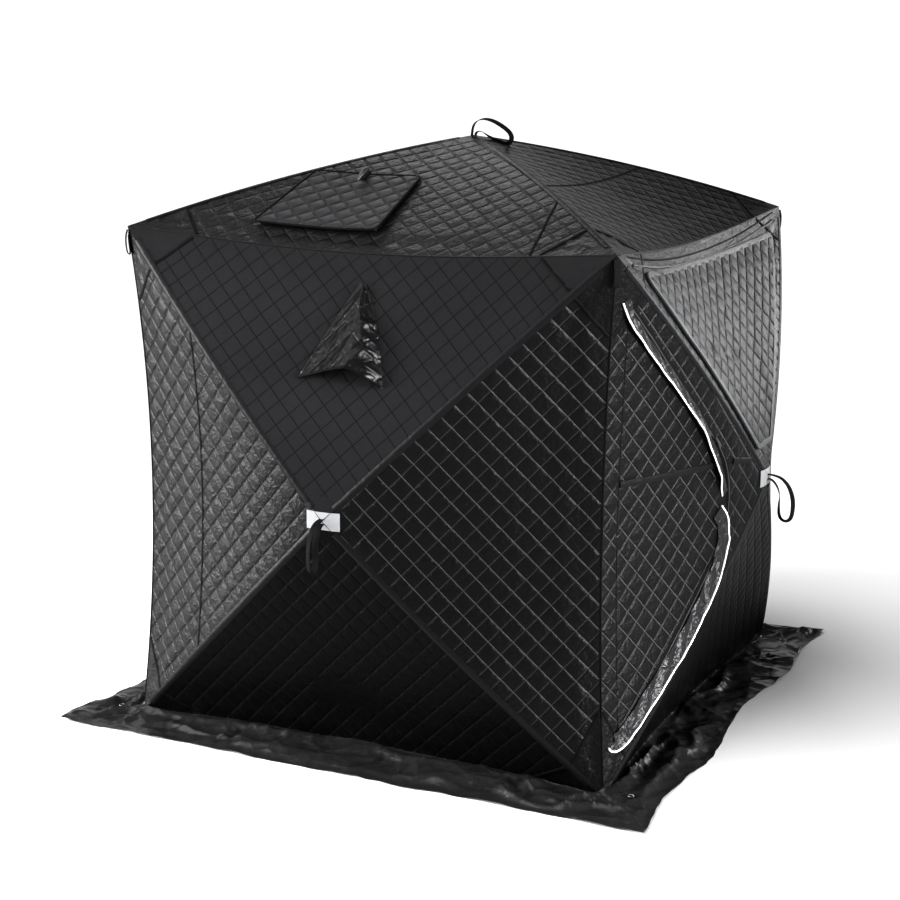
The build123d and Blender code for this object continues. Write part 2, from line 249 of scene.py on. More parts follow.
class Panel:
    """One triangle of fabric, stretched like a membrane between its edge and two seams."""

    def __init__(self, face, number):
        a = face["corners"][number]
        b = face["corners"][(number + 1) % 4]
        hub = hub_point(face)
        self.face = face
        self.number = number
        self.name = f"{face['name']}_panel_{face['panels'][number]}"
        self.width = np.linalg.norm(b - a)
        self.x = unit(b - a)
        self.z = unit(np.cross(self.x, hub - a))
        self.y = np.cross(self.z, self.x)
        self.mid = (a + b) / 2
        self.apex = vec((hub - self.mid) @ self.x, (hub - self.mid) @ self.y)
        self.left = vec(-self.width / 2, 0)
        self.right = vec(self.width / 2, 0)
        self.seed = FACES.index(face) * 40 + number * 7
        steps = np.arange(LATTICE + 1) / LATTICE
        bow = np.outer(face["bow"] * 4 * steps * (1 - steps), face["out"])
        field = np.zeros((LATTICE + 2, LATTICE + 2, 3))
        field[: LATTICE + 1, 0] = bow
        field[0, : LATTICE + 1] = bow
        for j, shift in enumerate(edge_shift(a, b, steps)):
            field[LATTICE - j, j] = shift
        load = np.zeros((len(INSIDE), 3))
        for k, i, j in BORDER:
            load[k] += field[i, j]
        for (i, j), value in zip(INSIDE, SPREAD @ load):
            field[i, j] = value
        field[LATTICE + 1, 0] = 2 * field[LATTICE, 0] - field[LATTICE - 1, 0]
        field[0, LATTICE + 1] = 2 * field[0, LATTICE] - field[0, LATTICE - 1]
        for i in range(1, LATTICE + 1):
            j = LATTICE + 1 - i
            field[i, j] = field[i - 1, j] + field[i, j - 1] - field[i - 1, j - 1]
        self.field = field
        self.to_lattice = np.linalg.inv(np.column_stack([self.left - self.apex, self.right - self.apex]))

    def seam_distance(self, uv):
        """Distance inwards from the nearer of the two seams."""
        found = []
        for corner, side in ((self.left, 1), (self.right, -1)):
            run = unit(self.apex - corner)
            found.append(((uv - corner) @ vec(run[1], -run[0])) * side)
        return np.minimum(*found)

    def shift(self, uv):
        where = (uv - self.apex) @ self.to_lattice.T * LATTICE
        where = np.clip(where, 0, LATTICE)
        over = np.maximum(where.sum(1) - LATTICE - 0.9, 0)
        where = np.clip(where - over[:, None] / 2, 0, LATTICE)
        cell = np.minimum(np.floor(where).astype(int), LATTICE)
        f = where - cell
        i, j = cell[:, 0], cell[:, 1]
        i1, j1 = np.minimum(i + 1, LATTICE + 1), np.minimum(j + 1, LATTICE + 1)
        wi, wj = f[:, :1], f[:, 1:]
        low = self.field[i, j] * (1 - wj) + self.field[i, j1] * wj
        high = self.field[i1, j] * (1 - wj) + self.field[i1, j1] * wj
        return low * (1 - wi) + high * wi

    def wrinkle(self, uv):
        """Soft folds that run along the drawn edges and out of the corners."""
        u, v = uv[:, 0], uv[:, 1]
        free = smooth(v, 0.03, 0.09) * smooth(self.seam_distance(uv), 0.0, 0.06)
        strength = 0.012 if self.name == "front_panel_right" else 0.006
        along_edge = noise(uv, np.array([1.5, 16.0]), self.seed + 3) * np.exp(-v / 0.17) * strength
        broad = noise(uv, 3.1, self.seed + 5) * 0.0022
        folds = 0
        for corner in (self.left, self.right):
            d = uv - corner
            r = np.linalg.norm(d, axis=1)
            angle = np.arctan2(d[:, 1], np.abs(d[:, 0]))
            fan = noise(np.column_stack([angle * 15, r * 2.2]), 1.0, self.seed + 9)
            folds = folds + fan * 0.0035 * np.exp(-r / 0.34) * smooth(r, 0.05, 0.16)
        return free * (along_edge + broad + folds)

    def at(self, uv, lift=0.0):
        """Points in space for places on the panel, lifted off the fabric by lift."""
        uv = np.atleast_2d(np.asarray(uv, float))
        h = 0.012
        here = self.shift(uv)
        du = (self.shift(uv + vec(h, 0)) - self.shift(uv - vec(h, 0))) / (2 * h)
        dv = (self.shift(uv + vec(0, h)) - self.shift(uv - vec(0, h))) / (2 * h)
        normal = np.cross(self.x + du, self.y + dv)
        normal /= np.linalg.norm(normal, axis=1)[:, None]
        flat = self.mid + np.outer(uv[:, 0], self.x) + np.outer(uv[:, 1], self.y)
        lifts = np.broadcast_to(np.asarray(lift, float), (len(uv),)) + self.wrinkle(uv)
        return flat + here + normal * lifts[:, None]

    def outline(self):
        return np.array([self.left, self.right, self.apex])


PANELS = {}
for face in FACES:
    for number in range(4):
        panel = Panel(face, number)
        PANELS[panel.name] = panel
FRONT_TOP = PANELS["front_panel_top"]
FRONT_BOTTOM = PANELS["front_panel_bottom"]
RIGHT_FRONT = PANELS["right_panel_front"]
RIGHT_TOP = PANELS["right_panel_top"]
ROOF_FRONT = PANELS["roof_panel_front"]


# ---- materials ----------------------------------------------------------------------------
class Graph:
    """A node tree, with short ways to add the nodes that this model uses."""

    def __init__(self, tree):
        self.nodes, self.links = tree.nodes, tree.links

    def feed(self, socket, value):
        """Links an output to the socket, or sets the socket's own value."""
        if isinstance(value, bpy.types.NodeSocket):
            self.links.new(value, socket)
        else:
            socket.default_value = value

    def node(self, kind, output, inputs, **settings):
        """Adds a node with these inputs and gives one of its outputs."""
        node = self.nodes.new("ShaderNode" + kind)
        for key, value in settings.items():
            setattr(node, key, value)
        for key, value in inputs.items():
            self.feed(node.inputs[key], value)
        return node.outputs[output]

    def noise(self, place, scale, detail=4.0, distortion=0.0):
        inputs = {"Vector": place, "Scale": scale, "Detail": detail, "Distortion": distortion}
        return self.node("TexNoise", "Fac", inputs)

    def maths(self, operation, a, b=None):
        return self.node("Math", 0, {0: a} if b is None else {0: a, 1: b}, operation=operation)

    def bump(self, height, strength, distance, below=None):
        inputs = {"Height": height, "Strength": strength, "Distance": distance}
        if below is not None:
            inputs["Normal"] = below
        return self.node("Bump", "Normal", inputs)

    def mix(self, factor, a, b):
        return self.node("Mix", 2, {0: factor, 6: a, 7: b}, data_type="RGBA")

    def tint(self, factor, dark, light):
        return self.mix(factor, (*dark, 1), (*light, 1))

    def attribute(self, name):
        return self.node("Attribute", "Fac", {}, attribute_name=name)

    def ramp(self, value, low, high, at_low, at_high, kind="SMOOTHSTEP"):
        inputs = {"Value": value, "From Min": low, "From Max": high, "To Min": at_low, "To Max": at_high}
        return self.node("MapRange", "Result", inputs, interpolation_type=kind)


def new_material(name):
    """A material, its graph, its shader's inputs and the place on the object."""
    material = bpy.data.materials.new(name)
    material.use_nodes = True
    graph = Graph(material.node_tree)
    shader = material.node_tree.nodes["Principled BSDF"].inputs
    return material, graph, shader, graph.node("TexCoord", "Object", {})


def quilt_nodes(graph, place, colour, normal, painted_groove_greys, groove):
    """A groove bumped along both families of quilting lines, with a line of stitches in it painted in a grey:
    painted shade where darker than the cloth, painted highlight where lighter.
    """
    here = graph.attribute("quilt")
    rows, valleys = [], []
    for own, other in (("q1", "q2"), ("q2", "q1")):
        step = graph.maths("FRACT", graph.maths("ADD", graph.attribute(own), 0.5))
        gap = graph.maths("ABSOLUTE", graph.maths("SUBTRACT", step, 0.5))
        valleys.append(graph.ramp(gap, 0.0, 0.11, 1.0, 0.0))
        line = graph.ramp(gap, 0.012, 0.032, 1.0, 0.0)
        beat = graph.maths("FRACT", graph.maths("MULTIPLY", graph.attribute(other), STITCHES_PER_CELL))
        rows.append(graph.maths("MULTIPLY", line, graph.ramp(beat, 0.55, 0.75, 1.0, 0.45)))
    valley = graph.maths("MULTIPLY", graph.maths("MAXIMUM", *valleys), here)
    puckers = graph.maths("MULTIPLY", graph.noise(place, 120.0, 3.0, 0.4), valley)
    height = graph.maths("SUBTRACT", graph.maths("MULTIPLY", puckers, 0.8), valley)
    normal = graph.bump(height, 0.85, groove, normal)
    for row, painted_grey in zip(rows, painted_groove_greys):
        colour = graph.mix(graph.maths("MULTIPLY", row, here), colour, (painted_grey, painted_grey, painted_grey, 1))
    return colour, normal


# the stitch lines' greys differ from cloth to cloth as painted light: the default greys, darker than the
# cloth, are painted shade in the quilting grooves
def fabric(name, dark, light, rough, crinkle=0.25, crinkle_scale=55.0, weave=1400.0, quilted=False,
           specular=0.5, crumple=0.0, crumple_scale=13.0, painted_groove_greys=(0.002, 0.002), groove=0.0022):
    """Woven synthetic cloth: colour that drifts, a fine weave, small creases, sharp crumples,
    and quilting whose stitch lines are painted in these greys: painted shade where darker than the cloth,
    painted highlight where lighter."""
    material, graph, shader, place = new_material(name)
    drift = graph.noise(place, 2.3, 3.0)
    fine = graph.noise(place, 38.0, 5.0)
    both = graph.maths("ADD", graph.maths("MULTIPLY", drift, 0.65), graph.maths("MULTIPLY", fine, 0.35))
    colour = graph.tint(both, dark, light)
    cloth = graph.node("UVMap", "UV", {})
    wave = {"Vector": cloth, "Scale": weave / 2, "Distortion": 0.4}
    threads = [graph.node("TexWave", "Fac", wave, bands_direction=direction) for direction in ("X", "Y")]
    normal = graph.bump(graph.maths("MULTIPLY", *threads), 0.18, 0.0002)
    normal = graph.bump(graph.noise(place, crinkle_scale, 6.0, 0.6), crinkle, 0.006, normal)
    if crumple:
        soft = graph.node("TexNoise", "Color", {"Vector": place, "Scale": crumple_scale * 0.5})
        shifted = {0: soft, 1: (0.09, 0.09, 0.09), 2: place}
        bent = graph.node("VectorMath", 0, shifted, operation="MULTIPLY_ADD")
        for scale, depth in ((crumple_scale, 1.0), (crumple_scale * 2.6, 0.42)):
            facets = graph.node("TexVoronoi", "Distance", {"Vector": bent, "Scale": scale})
            normal = graph.bump(facets, crumple, 0.022 * depth, normal)
    if quilted:
        colour, normal = quilt_nodes(graph, place, colour, normal, painted_groove_greys, groove)
    graph.feed(shader["Base Color"], colour)
    graph.feed(shader["Roughness"], graph.ramp(fine, 0.0, 1.0, rough - 0.07, rough + 0.07, "LINEAR"))
    graph.feed(shader["Normal"], normal)
    shader["Specular IOR Level"].default_value = specular
    return material


def moulded(name, dark, light, rough, metallic=0.0, grain=220.0, strength=0.12):
    """Moulded plastic, painted metal or rubber: a fine grain, slight colour drift and wear."""
    material, graph, shader, place = new_material(name)
    drift = graph.noise(place, 16.0, 5.0)
    graph.feed(shader["Base Color"], graph.tint(drift, dark, light))
    graph.feed(shader["Roughness"], graph.ramp(drift, 0.0, 1.0, rough - 0.08, rough + 0.08, "LINEAR"))
    graph.feed(shader["Normal"], graph.bump(graph.noise(place, grain, 3.0), strength, 0.001))
    shader["Metallic"].default_value = metallic
    return material


BLACK = (0.0035, 0.0035, 0.0039)
BLACK_LIGHT = (0.0070, 0.0070, 0.0076)
QUILTED = fabric("quilted_shell", BLACK, BLACK_LIGHT, 0.34, 0.42, 70.0, quilted=True, specular=0.085,
                 crumple=0.075, crumple_scale=26.0)
# the same cloth for the front wall's right triangle, the right wall's front triangle and the door: its darker
# base colour is painted shade, its light stitch lines are painted highlight where the grooves would catch the
# light, and it has hardly any sheen
PAINTED_HIGHLIGHT_SHELL = fabric("quilted_shell_bright_thread", (0.0018, 0.0018, 0.002), (0.0042, 0.0042, 0.0046),
                         0.35, 0.55, 70.0, quilted=True, specular=0.07, crumple=0.1, crumple_scale=22.0,
                         painted_groove_greys=(0.060, 0.024))
# the shell cloth for the bottom triangles: its darker base colour is painted shade, and its stitch lines,
# lighter than the cloth, are painted highlight
PAINTED_SHADE_SHELL = fabric("quilted_shell_lower", (0.0012, 0.0012, 0.0014), (0.0026, 0.0026, 0.0029),
                     0.42, 0.38, 70.0, quilted=True, specular=0.03, crumple=0.055, crumple_scale=26.0,
                     painted_groove_greys=(0.007, 0.004))
# the shell cloth for the front top, with no specular reflection: its lighter base colour is painted sheen,
# and its dark stitch lines are painted shade in the grooves
PAINTED_SHEEN_SHELL = fabric("quilted_shell_flat", (0.0092, 0.0092, 0.0098), (0.0165, 0.0165, 0.0173), 0.48, 0.3, 70.0,
                    quilted=True, specular=0.0, crumple=0.05, crumple_scale=26.0, groove=0.0016)
PLAIN = fabric("plain_shell", BLACK, BLACK_LIGHT, 0.38, 0.42, 45.0, specular=0.07)
LINING = fabric("lining", (0.010, 0.010, 0.011), (0.018, 0.018, 0.020), 0.62, 0.25, 45.0, specular=0.2)
# cloth for the window cover and the roof flap: its base colour, lighter than the shell's, is painted sheen
PAINTED_SHEEN_COVER = fabric("cover_shell_painted_sheen", (0.008, 0.008, 0.009), (0.015, 0.015, 0.016), 0.46, 0.3, 60.0, quilted=True,
               specular=0.12)
TAPE_LIGHT = fabric("cover_tape", (0.018, 0.018, 0.019), (0.032, 0.032, 0.034), 0.42, 0.3, 120.0,
                    specular=0.16)
HOOD = fabric("hood_shell", (0.0015, 0.0015, 0.0018), (0.004, 0.004, 0.0044), 0.33, 0.4, 34.0, quilted=True,
              specular=0.11, crumple=0.2, crumple_scale=15.0)
SKIRT = fabric("skirt_sheet", (0.009, 0.009, 0.0095), (0.018, 0.018, 0.019), 0.30, 0.2, 30.0, specular=0.24,
               crumple=0.7, crumple_scale=7.0)
STORM = fabric("storm_flap", (0.007, 0.007, 0.008), (0.013, 0.013, 0.014), 0.32, 0.3, 40.0, specular=0.14,
               crumple=0.3, crumple_scale=24.0)
BINDING = fabric("dark_binding", (0.0012, 0.0012, 0.0014), (0.003, 0.003, 0.0034), 0.6, 0.3, 140.0,
                 specular=0.04)
WEBBING = fabric("webbing", (0.002, 0.002, 0.002), (0.005, 0.005, 0.005), 0.7, 0.5, 320.0, weave=700.0,
                 specular=0.06)
WHITE = fabric("white_piping", (0.70, 0.70, 0.69), (0.84, 0.84, 0.83), 0.45, 0.3, 160.0)
SILVER = fabric("reflective_tape", (0.17, 0.175, 0.18), (0.25, 0.255, 0.26), 0.5, 0.25, 90.0, specular=0.3)
NETTING = fabric("vent_mesh", (0.004, 0.004, 0.004), (0.02, 0.02, 0.02), 0.7, 0.6, 600.0, weave=500.0)
PLASTIC = moulded("hub_plastic", (0.012, 0.012, 0.012), (0.022, 0.022, 0.022), 0.42)
FIBRE = moulded("glass_fibre", (0.03, 0.03, 0.032), (0.055, 0.055, 0.058), 0.35, 0.0, 380.0, 0.2)
RUBBER = moulded("pole_boot", (0.01, 0.01, 0.01), (0.02, 0.02, 0.02), 0.7, 0.0, 300.0, 0.3)
STEEL = moulded("ferrule", (0.35, 0.35, 0.36), (0.5, 0.5, 0.52), 0.32, 1.0, 500.0, 0.15)
ZIP_METAL = moulded("zip_metal", (0.02, 0.02, 0.02), (0.06, 0.06, 0.06), 0.3, 0.6, 420.0, 0.2)
GROMMET = moulded("grommet", (0.10, 0.10, 0.105), (0.2, 0.2, 0.21), 0.3, 1.0, 420.0, 0.2)

VINYL, vinyl_graph, vinyl_shader, vinyl_place = new_material("window_vinyl")
vinyl_waves = vinyl_graph.noise(vinyl_place, 7.0, 2.0, 0.4)
vinyl_graph.feed(vinyl_shader["Normal"], vinyl_graph.bump(vinyl_waves, 0.25, 0.01))
vinyl_graph.feed(vinyl_shader["Base Color"],
                 vinyl_graph.tint(vinyl_waves, (0.45, 0.47, 0.48), (0.6, 0.62, 0.63)))
vinyl_shader["Roughness"].default_value = 0.08
vinyl_shader["Alpha"].default_value = 0.35


# ---- mesh building ------------------------------------------------------------------------
def placed(name, data):
    """A new object in the scene."""
    thing = bpy.data.objects.new(name, data)
    bpy.context.scene.collection.objects.link(thing)
    return thing


def aim(thing, direction):
    """Turns a lamp so that it shines along the direction."""
    thing.rotation_mode = "QUATERNION"
    thing.rotation_quaternion = Vector(direction).to_track_quat("-Z", "Y")


def build(name, points, faces, materials, uv=None, attributes=None, inner=None, sharp=50):
    """A mesh object. uv and attributes hold one value for each point; inner marks the faces
    that take the second material."""
    mesh = bpy.data.meshes.new(name)
    mesh.from_pydata(np.asarray(points, float).tolist(), [], [tuple(int(i) for i in f) for f in faces])
    mesh.validate()
    for material in materials:
        mesh.materials.append(material)
    layer = mesh.uv_layers.new(name="UVMap")
    loops = np.zeros(len(mesh.loops), np.int32)
    mesh.loops.foreach_get("vertex_index", loops)
    flat = np.asarray(points, float)[:, :2] if uv is None else np.asarray(uv, float)
    layer.data.foreach_set("uv", flat[loops].astype(np.float32).ravel())
    for key, values in (attributes or {}).items():
        attribute = mesh.attributes.new(key, "FLOAT", "POINT")
        attribute.data.foreach_set("value", np.asarray(values, np.float32))
    if inner is not None:
        mesh.polygons.foreach_set("material_index", np.asarray(inner, np.int32))
    mesh.polygons.foreach_set("use_smooth", np.ones(len(mesh.polygons), bool))
    mesh.set_sharp_from_angle(angle=math.radians(sharp))
    mesh.update()
    return placed(name, mesh)


def rim_of(faces):
    """The directed edges that only one face uses."""
    directed = {}
    for f in faces:
        for a, b in zip(f, f[1:] + f[:1]):
            directed[(a, b)] = True
    return [(a, b) for (a, b) in directed if (b, a) not in directed]


def closed_sheet(name, top, bottom, faces, materials, uv, attributes=None, sharp=50):
    """Two layers of cloth with a rim between them, the second material on the lower layer."""
    n = len(top)
    faces = [list(f) for f in faces]
    under = [[i + n for i in reversed(f)] for f in faces]
    rim = [[b, a, a + n, b + n] for a, b in rim_of(faces)]
    both = {k: np.concatenate([v, v]) for k, v in (attributes or {}).items()}
    second = 1 if len(materials) > 1 else 0
    inner = [0] * len(faces) + [second] * len(under) + [0] * len(rim)
    return build(name, np.concatenate([top, bottom]), faces + under + rim, materials,
                 np.concatenate([uv, uv]), both, inner, sharp)


def trim(points, faces, keep, hole=None):
    """Cuts a flat mesh to the inside of one convex outline and the outside of another."""
    bm = bmesh.new()
    made = [bm.verts.new((x, y, 0)) for x, y in points]
    for f in faces:
        bm.faces.new([made[i] for i in f])
    for a, b in zip(keep, np.roll(keep, -1, axis=0)):
        run = b - a
        bmesh.ops.bisect_plane(bm, geom=bm.verts[:] + bm.edges[:] + bm.faces[:], dist=1e-6,
                               plane_co=(a[0], a[1], 0), plane_no=(-run[1], run[0], 0), clear_inner=True)
    if hole is not None:
        for a, b in zip(hole, np.roll(hole, -1, axis=0)):
            run = b - a
            reach = np.linalg.norm(run) / 2 + CELL
            centre = Vector((*((a + b) / 2), 0))
            near = [f for f in bm.faces if (f.calc_center_median() - centre).length < reach]
            edges = {e for f in near for e in f.edges}
            verts = {v for f in near for v in f.verts}
            bmesh.ops.bisect_plane(bm, geom=list(verts) + list(edges) + near, dist=1e-6,
                                   plane_co=(a[0], a[1], 0), plane_no=(-run[1], run[0], 0))
        dead = [f for f in bm.faces if inside(hole, np.array([f.calc_center_median()[:2]]))[0]]
        bmesh.ops.delete(bm, geom=dead, context="FACES")
    bmesh.ops.remove_doubles(bm, verts=bm.verts[:], dist=0.0003)
    bm.verts.index_update()
    cut = np.array([v.co[:2] for v in bm.verts], float)
    polygons = [[v.index for v in f.verts] for f in bm.faces]
    bm.free()
    return cut, polygons


def inside(outline, points):
    run = np.roll(outline, -1, axis=0) - outline
    side = [r[0] * (points[:, 1] - a[1]) - r[1] * (points[:, 0] - a[0]) for a, r in zip(outline, run)]
    return np.min(side, axis=0) > 0


def edge_distance(outline, points, closed=True):
    """Distance from points to a line of straight runs."""
    ends = np.roll(outline, -1, axis=0) if closed else outline[1:]
    best = np.full(len(points), 1e9)
    for a, b in zip(outline, ends):
        run = b - a
        share = np.clip((points - a) @ run / (run @ run), 0, 1)
        best = np.minimum(best, np.linalg.norm(points - a - share[:, None] * run, axis=1))
    return best


def grid_quads(index, wrap=False):
    """The quads between the neighbours of a grid of point numbers."""
    ahead = np.roll(index, -1, axis=0) if wrap else index[1:]
    here = index if wrap else index[:-1]
    return np.stack([here[:, :-1], here[:, 1:], ahead[:, 1:], ahead[:, :-1]], axis=-1).reshape(-1, 4)


def turned(faces, points, outward):
    """The same faces, all flipped if the middle one looks away from outward."""
    first = faces[len(faces) // 2]
    normal = np.cross(points[first[1]] - points[first[0]], points[first[3]] - points[first[0]])
    return faces if normal @ outward > 0 else [f[::-1] for f in faces]


def quilt_grid(outline, angle=45.0, cell=CELL):
    """A flat mesh whose rows follow the two families of quilting lines."""
    c, s = math.cos(math.radians(angle)), math.sin(math.radians(angle))
    low, high = outline.min(0) - cell, outline.max(0) + cell
    boxed = np.array([[low[0], low[1]], [high[0], low[1]], [high[0], high[1]], [low[0], high[1]]])
    q = np.column_stack([boxed[:, 1] * c - boxed[:, 0] * s, boxed[:, 1] * c + boxed[:, 0] * s]) / cell
    rows = [[k + f for k in range(int(math.floor(q[:, a].min())), int(math.ceil(q[:, a].max())))
             for f in QUILT_STEPS] for a in (0, 1)]
    first, second = np.meshgrid(rows[0], rows[1], indexing="ij")
    points = np.column_stack([((second - first) * cell / (2 * s)).ravel(),
                              ((first + second) * cell / (2 * c)).ravel()])
    n, m = first.shape
    quads = grid_quads(np.arange(n * m).reshape(n, m))
    centre = points[quads].mean(1)
    run = np.roll(outline, -1, axis=0) - outline
    side = [(r[0] * (centre[:, 1] - a[1]) - r[1] * (centre[:, 0] - a[0])) / np.linalg.norm(r)
            for a, r in zip(outline, run)]
    quads = quads[np.min(side, axis=0) > -cell * 0.6]
    used, quads = np.unique(quads, return_inverse=True)
    quads = quads.reshape(-1, 4)
    points = points[used]
    a, b, d = points[quads[0, 0]], points[quads[0, 1]], points[quads[0, 3]]
    if np.cross(b - a, d - a) < 0:
        quads = quads[:, ::-1]
    return points, quads.tolist()


def quilting(uv, angle=45.0, cell=CELL, seed=0):
    """Pillow height from 0 to 1 and the two line numbers, at places on the cloth."""
    c, s = math.cos(math.radians(angle)), math.sin(math.radians(angle))
    q = np.column_stack([uv[:, 1] * c - uv[:, 0] * s, uv[:, 1] * c + uv[:, 0] * s]) / cell
    away = np.abs(q - np.round(q)) * 2
    rise = 1 - (1 - away) ** 4.6
    number = np.floor(q).astype(np.int64)
    uneven = 1 + 0.22 * lattice_value(number[:, 0], number[:, 1], 0 * number[:, 0], seed)
    return rise[:, 0] * rise[:, 1] * uneven, q


def quilted(name, panel, outline, hole=None, lift=0.0, puff=PUFF, thick=FABRIC_THICKNESS, quilt_mask=None,
            extra_lift=None, materials=None, angle=45.0):
    """A quilted piece of cloth that lies on a panel's surface."""
    grid, quads = quilt_grid(outline, angle)
    uv, faces = trim(grid, quads, outline, hole)
    pillow, q = quilting(uv, angle, seed=panel.seed)
    mask = smooth(edge_distance(outline, uv), 0.0005, 0.011)
    if hole is not None:
        mask *= smooth(edge_distance(hole, uv), 0.0005, 0.009)
    if quilt_mask is not None:
        mask *= quilt_mask(uv)
    rise = puff * pillow * mask
    extra = 0 if extra_lift is None else extra_lift(uv)
    top = panel.at(uv, lift + rise + extra)
    bottom = panel.at(uv, lift - thick - 0.6 * rise + extra)
    return closed_sheet(name, top, bottom, faces, materials or [QUILTED, LINING], uv,
                        {"quilt": mask, "q1": q[:, 0], "q2": q[:, 1]})


def netting(name, panel, outline):
    return quilted(name, panel, outline, lift=0.0042, puff=0.0, thick=0.001, materials=[NETTING])


def resample(path, step, closed=False):
    path = np.asarray(path, float)
    if closed:
        path = np.vstack([path, path[:1]])
    gaps = np.linalg.norm(np.diff(path, axis=0), axis=1)
    along = np.concatenate([[0], np.cumsum(gaps)])
    count = max(2, int(round(along[-1] / step)) + 1)
    wanted = np.linspace(0, along[-1], count)
    found = np.column_stack([np.interp(wanted, along, path[:, k]) for k in range(path.shape[1])])
    return found[:-1] if closed else found


def rounded(path, passes=3, closed=False):
    """Cuts a route's corners again and again, which leaves a smooth curve."""
    path = np.asarray(path, float)
    for _ in range(passes):
        following = np.roll(path, -1, axis=0)
        pairs = np.stack([0.75 * path + 0.25 * following, 0.25 * path + 0.75 * following], axis=1)
        if closed:
            path = pairs.reshape(-1, path.shape[1])
        else:
            path = np.vstack([path[:1], pairs[:-1].reshape(-1, path.shape[1]), path[-1:]])
    return path


def strip(name, panel, path, section, material, step=0.014, closed=False, passes=2):
    """A band sewn along a line on a panel. section(share) lists (sideways, lift) round the
    band's cross-section; sideways is to the left of the line."""
    route = resample(rounded(path, passes, closed), step, closed)
    n = len(route)
    if closed:
        ahead, behind = np.roll(route, -1, axis=0), np.roll(route, 1, axis=0)
    else:
        ahead = np.vstack([route[1:], 2 * route[-1:] - route[-2:-1]])
        behind = np.vstack([2 * route[:1] - route[1:2], route[:-1]])
    run = ahead - behind
    run /= np.linalg.norm(run, axis=1)[:, None]
    left = np.column_stack([-run[:, 1], run[:, 0]])
    rings, flats = [], []
    for k in range(n):
        shape = np.asarray(section(k / max(1, n - 1)), float)
        spots = route[k] + np.outer(shape[:, 0], left[k])
        rings.append(np.column_stack([spots, shape[:, 1]]))
        flats.append(spots)
    rings = np.array(rings)
    m = rings.shape[1]
    points = panel.at(rings[:, :, :2].reshape(-1, 2), rings[:, :, 2].ravel())
    return loft(name, points.reshape(n, m, 3), [material], closed, np.array(flats).reshape(-1, 2))


def loft(name, rings, materials, closed=False, uv=None, sharp=50):
    """Skins a row of closed rings of points, with flat ends unless the row is closed."""
    n, m = rings.shape[:2]
    faces = []
    for k in range(n if closed else n - 1):
        a, b = k * m, ((k + 1) % n) * m
        for i in range(m):
            j = (i + 1) % m
            faces.append([a + i, a + j, b + j, b + i])
    if not closed:
        faces.append(list(range(m))[::-1])
        faces.append(list(range((n - 1) * m, n * m)))
    centre = rings[0].mean(0)
    ahead = rings[1].mean(0) - centre
    spin = sum(np.cross(rings[0][i] - centre, rings[0][(i + 1) % m] - centre) for i in range(m))
    if spin @ ahead < 0:
        faces = [f[::-1] for f in faces]
    piece = build(name, rings.reshape(-1, 3), faces, materials, uv, sharp=sharp)
    return piece


def band(width, height, base=-0.0012):
    """The cross-section of a flat tape with rounded edges."""
    half = width / 2
    shape = [(-half, base), (half, base), (half, height * 0.55), (half * 0.72, height),
             (0, height * 1.06), (-half * 0.72, height), (-half, height * 0.55)]
    return lambda share: shape


def piping(radius, lift):
    """The cross-section of a round piping whose middle is lifted off the cloth."""
    return [(radius * math.cos(t), lift + radius * math.sin(t)) for t in around(8)]


def tube(name, line, radius, materials, sides=10, closed=False):
    """A round bar along a line in space. radius is a number, or one for each point."""
    line = np.asarray(line, float)
    n = len(line)
    radii = np.broadcast_to(np.asarray(radius, float), (n,))
    if closed:
        run = np.roll(line, -1, axis=0) - np.roll(line, 1, axis=0)
    else:
        run = np.gradient(line, axis=0)
    run /= np.linalg.norm(run, axis=1)[:, None]
    side = np.cross(run[0], [0.31, 0.52, 0.79])
    rings = []
    turns = around(sides)
    for k in range(n):
        side = unit(side - (side @ run[k]) * run[k])
        other = np.cross(run[k], side)
        rings.append(line[k] + radii[k] * (np.outer(np.cos(turns), side) + np.outer(np.sin(turns), other)))
    along = np.repeat(np.concatenate([[0], np.cumsum(np.linalg.norm(np.diff(line, axis=0), axis=1))]), sides)
    uv = np.column_stack([along, np.tile(turns * radii.mean(), n)])
    return loft(name, np.array(rings), materials, closed, uv)


def bend(piece):
    """Bakes the piece's transform into its mesh."""
    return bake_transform(piece)


def bend_between(piece, body, moving, panel, start_v, end_v):
    """Bakes the piece's transform into its mesh."""
    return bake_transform(piece)


# ---- camera and pull straps ---------------------------------------------------------------
# all of the camera comes from a fit to the shelter's corners, hubs, peak and skirt
CAMERA_AT = (2.84846, -6.18579, 2.43383)
CAMERA_ANGLES = (25.391, 12.852, 0.322)  # azimuth, elevation, roll
camera_data = bpy.data.cameras.new("camera")
camera_data.lens = 74.55
camera_data.sensor_width = 36
camera_data.clip_end = 200
camera = placed("camera", camera_data)
azimuth, elevation, roll = (math.radians(a) for a in CAMERA_ANGLES)
back = vec(math.sin(azimuth) * math.cos(elevation), -math.cos(azimuth) * math.cos(elevation),
           math.sin(elevation))
right = unit(np.cross([0, 0, 1], back))
up = np.cross(back, right)
camera_x = math.cos(roll) * right + math.sin(roll) * up
camera_y = -math.sin(roll) * right + math.cos(roll) * up
turn = Matrix([[camera_x[k], camera_y[k], back[k], 0] for k in range(3)] + [[0, 0, 0, 1]])
camera.matrix_world = Matrix.Translation(CAMERA_AT) @ turn
bpy.context.scene.camera = camera

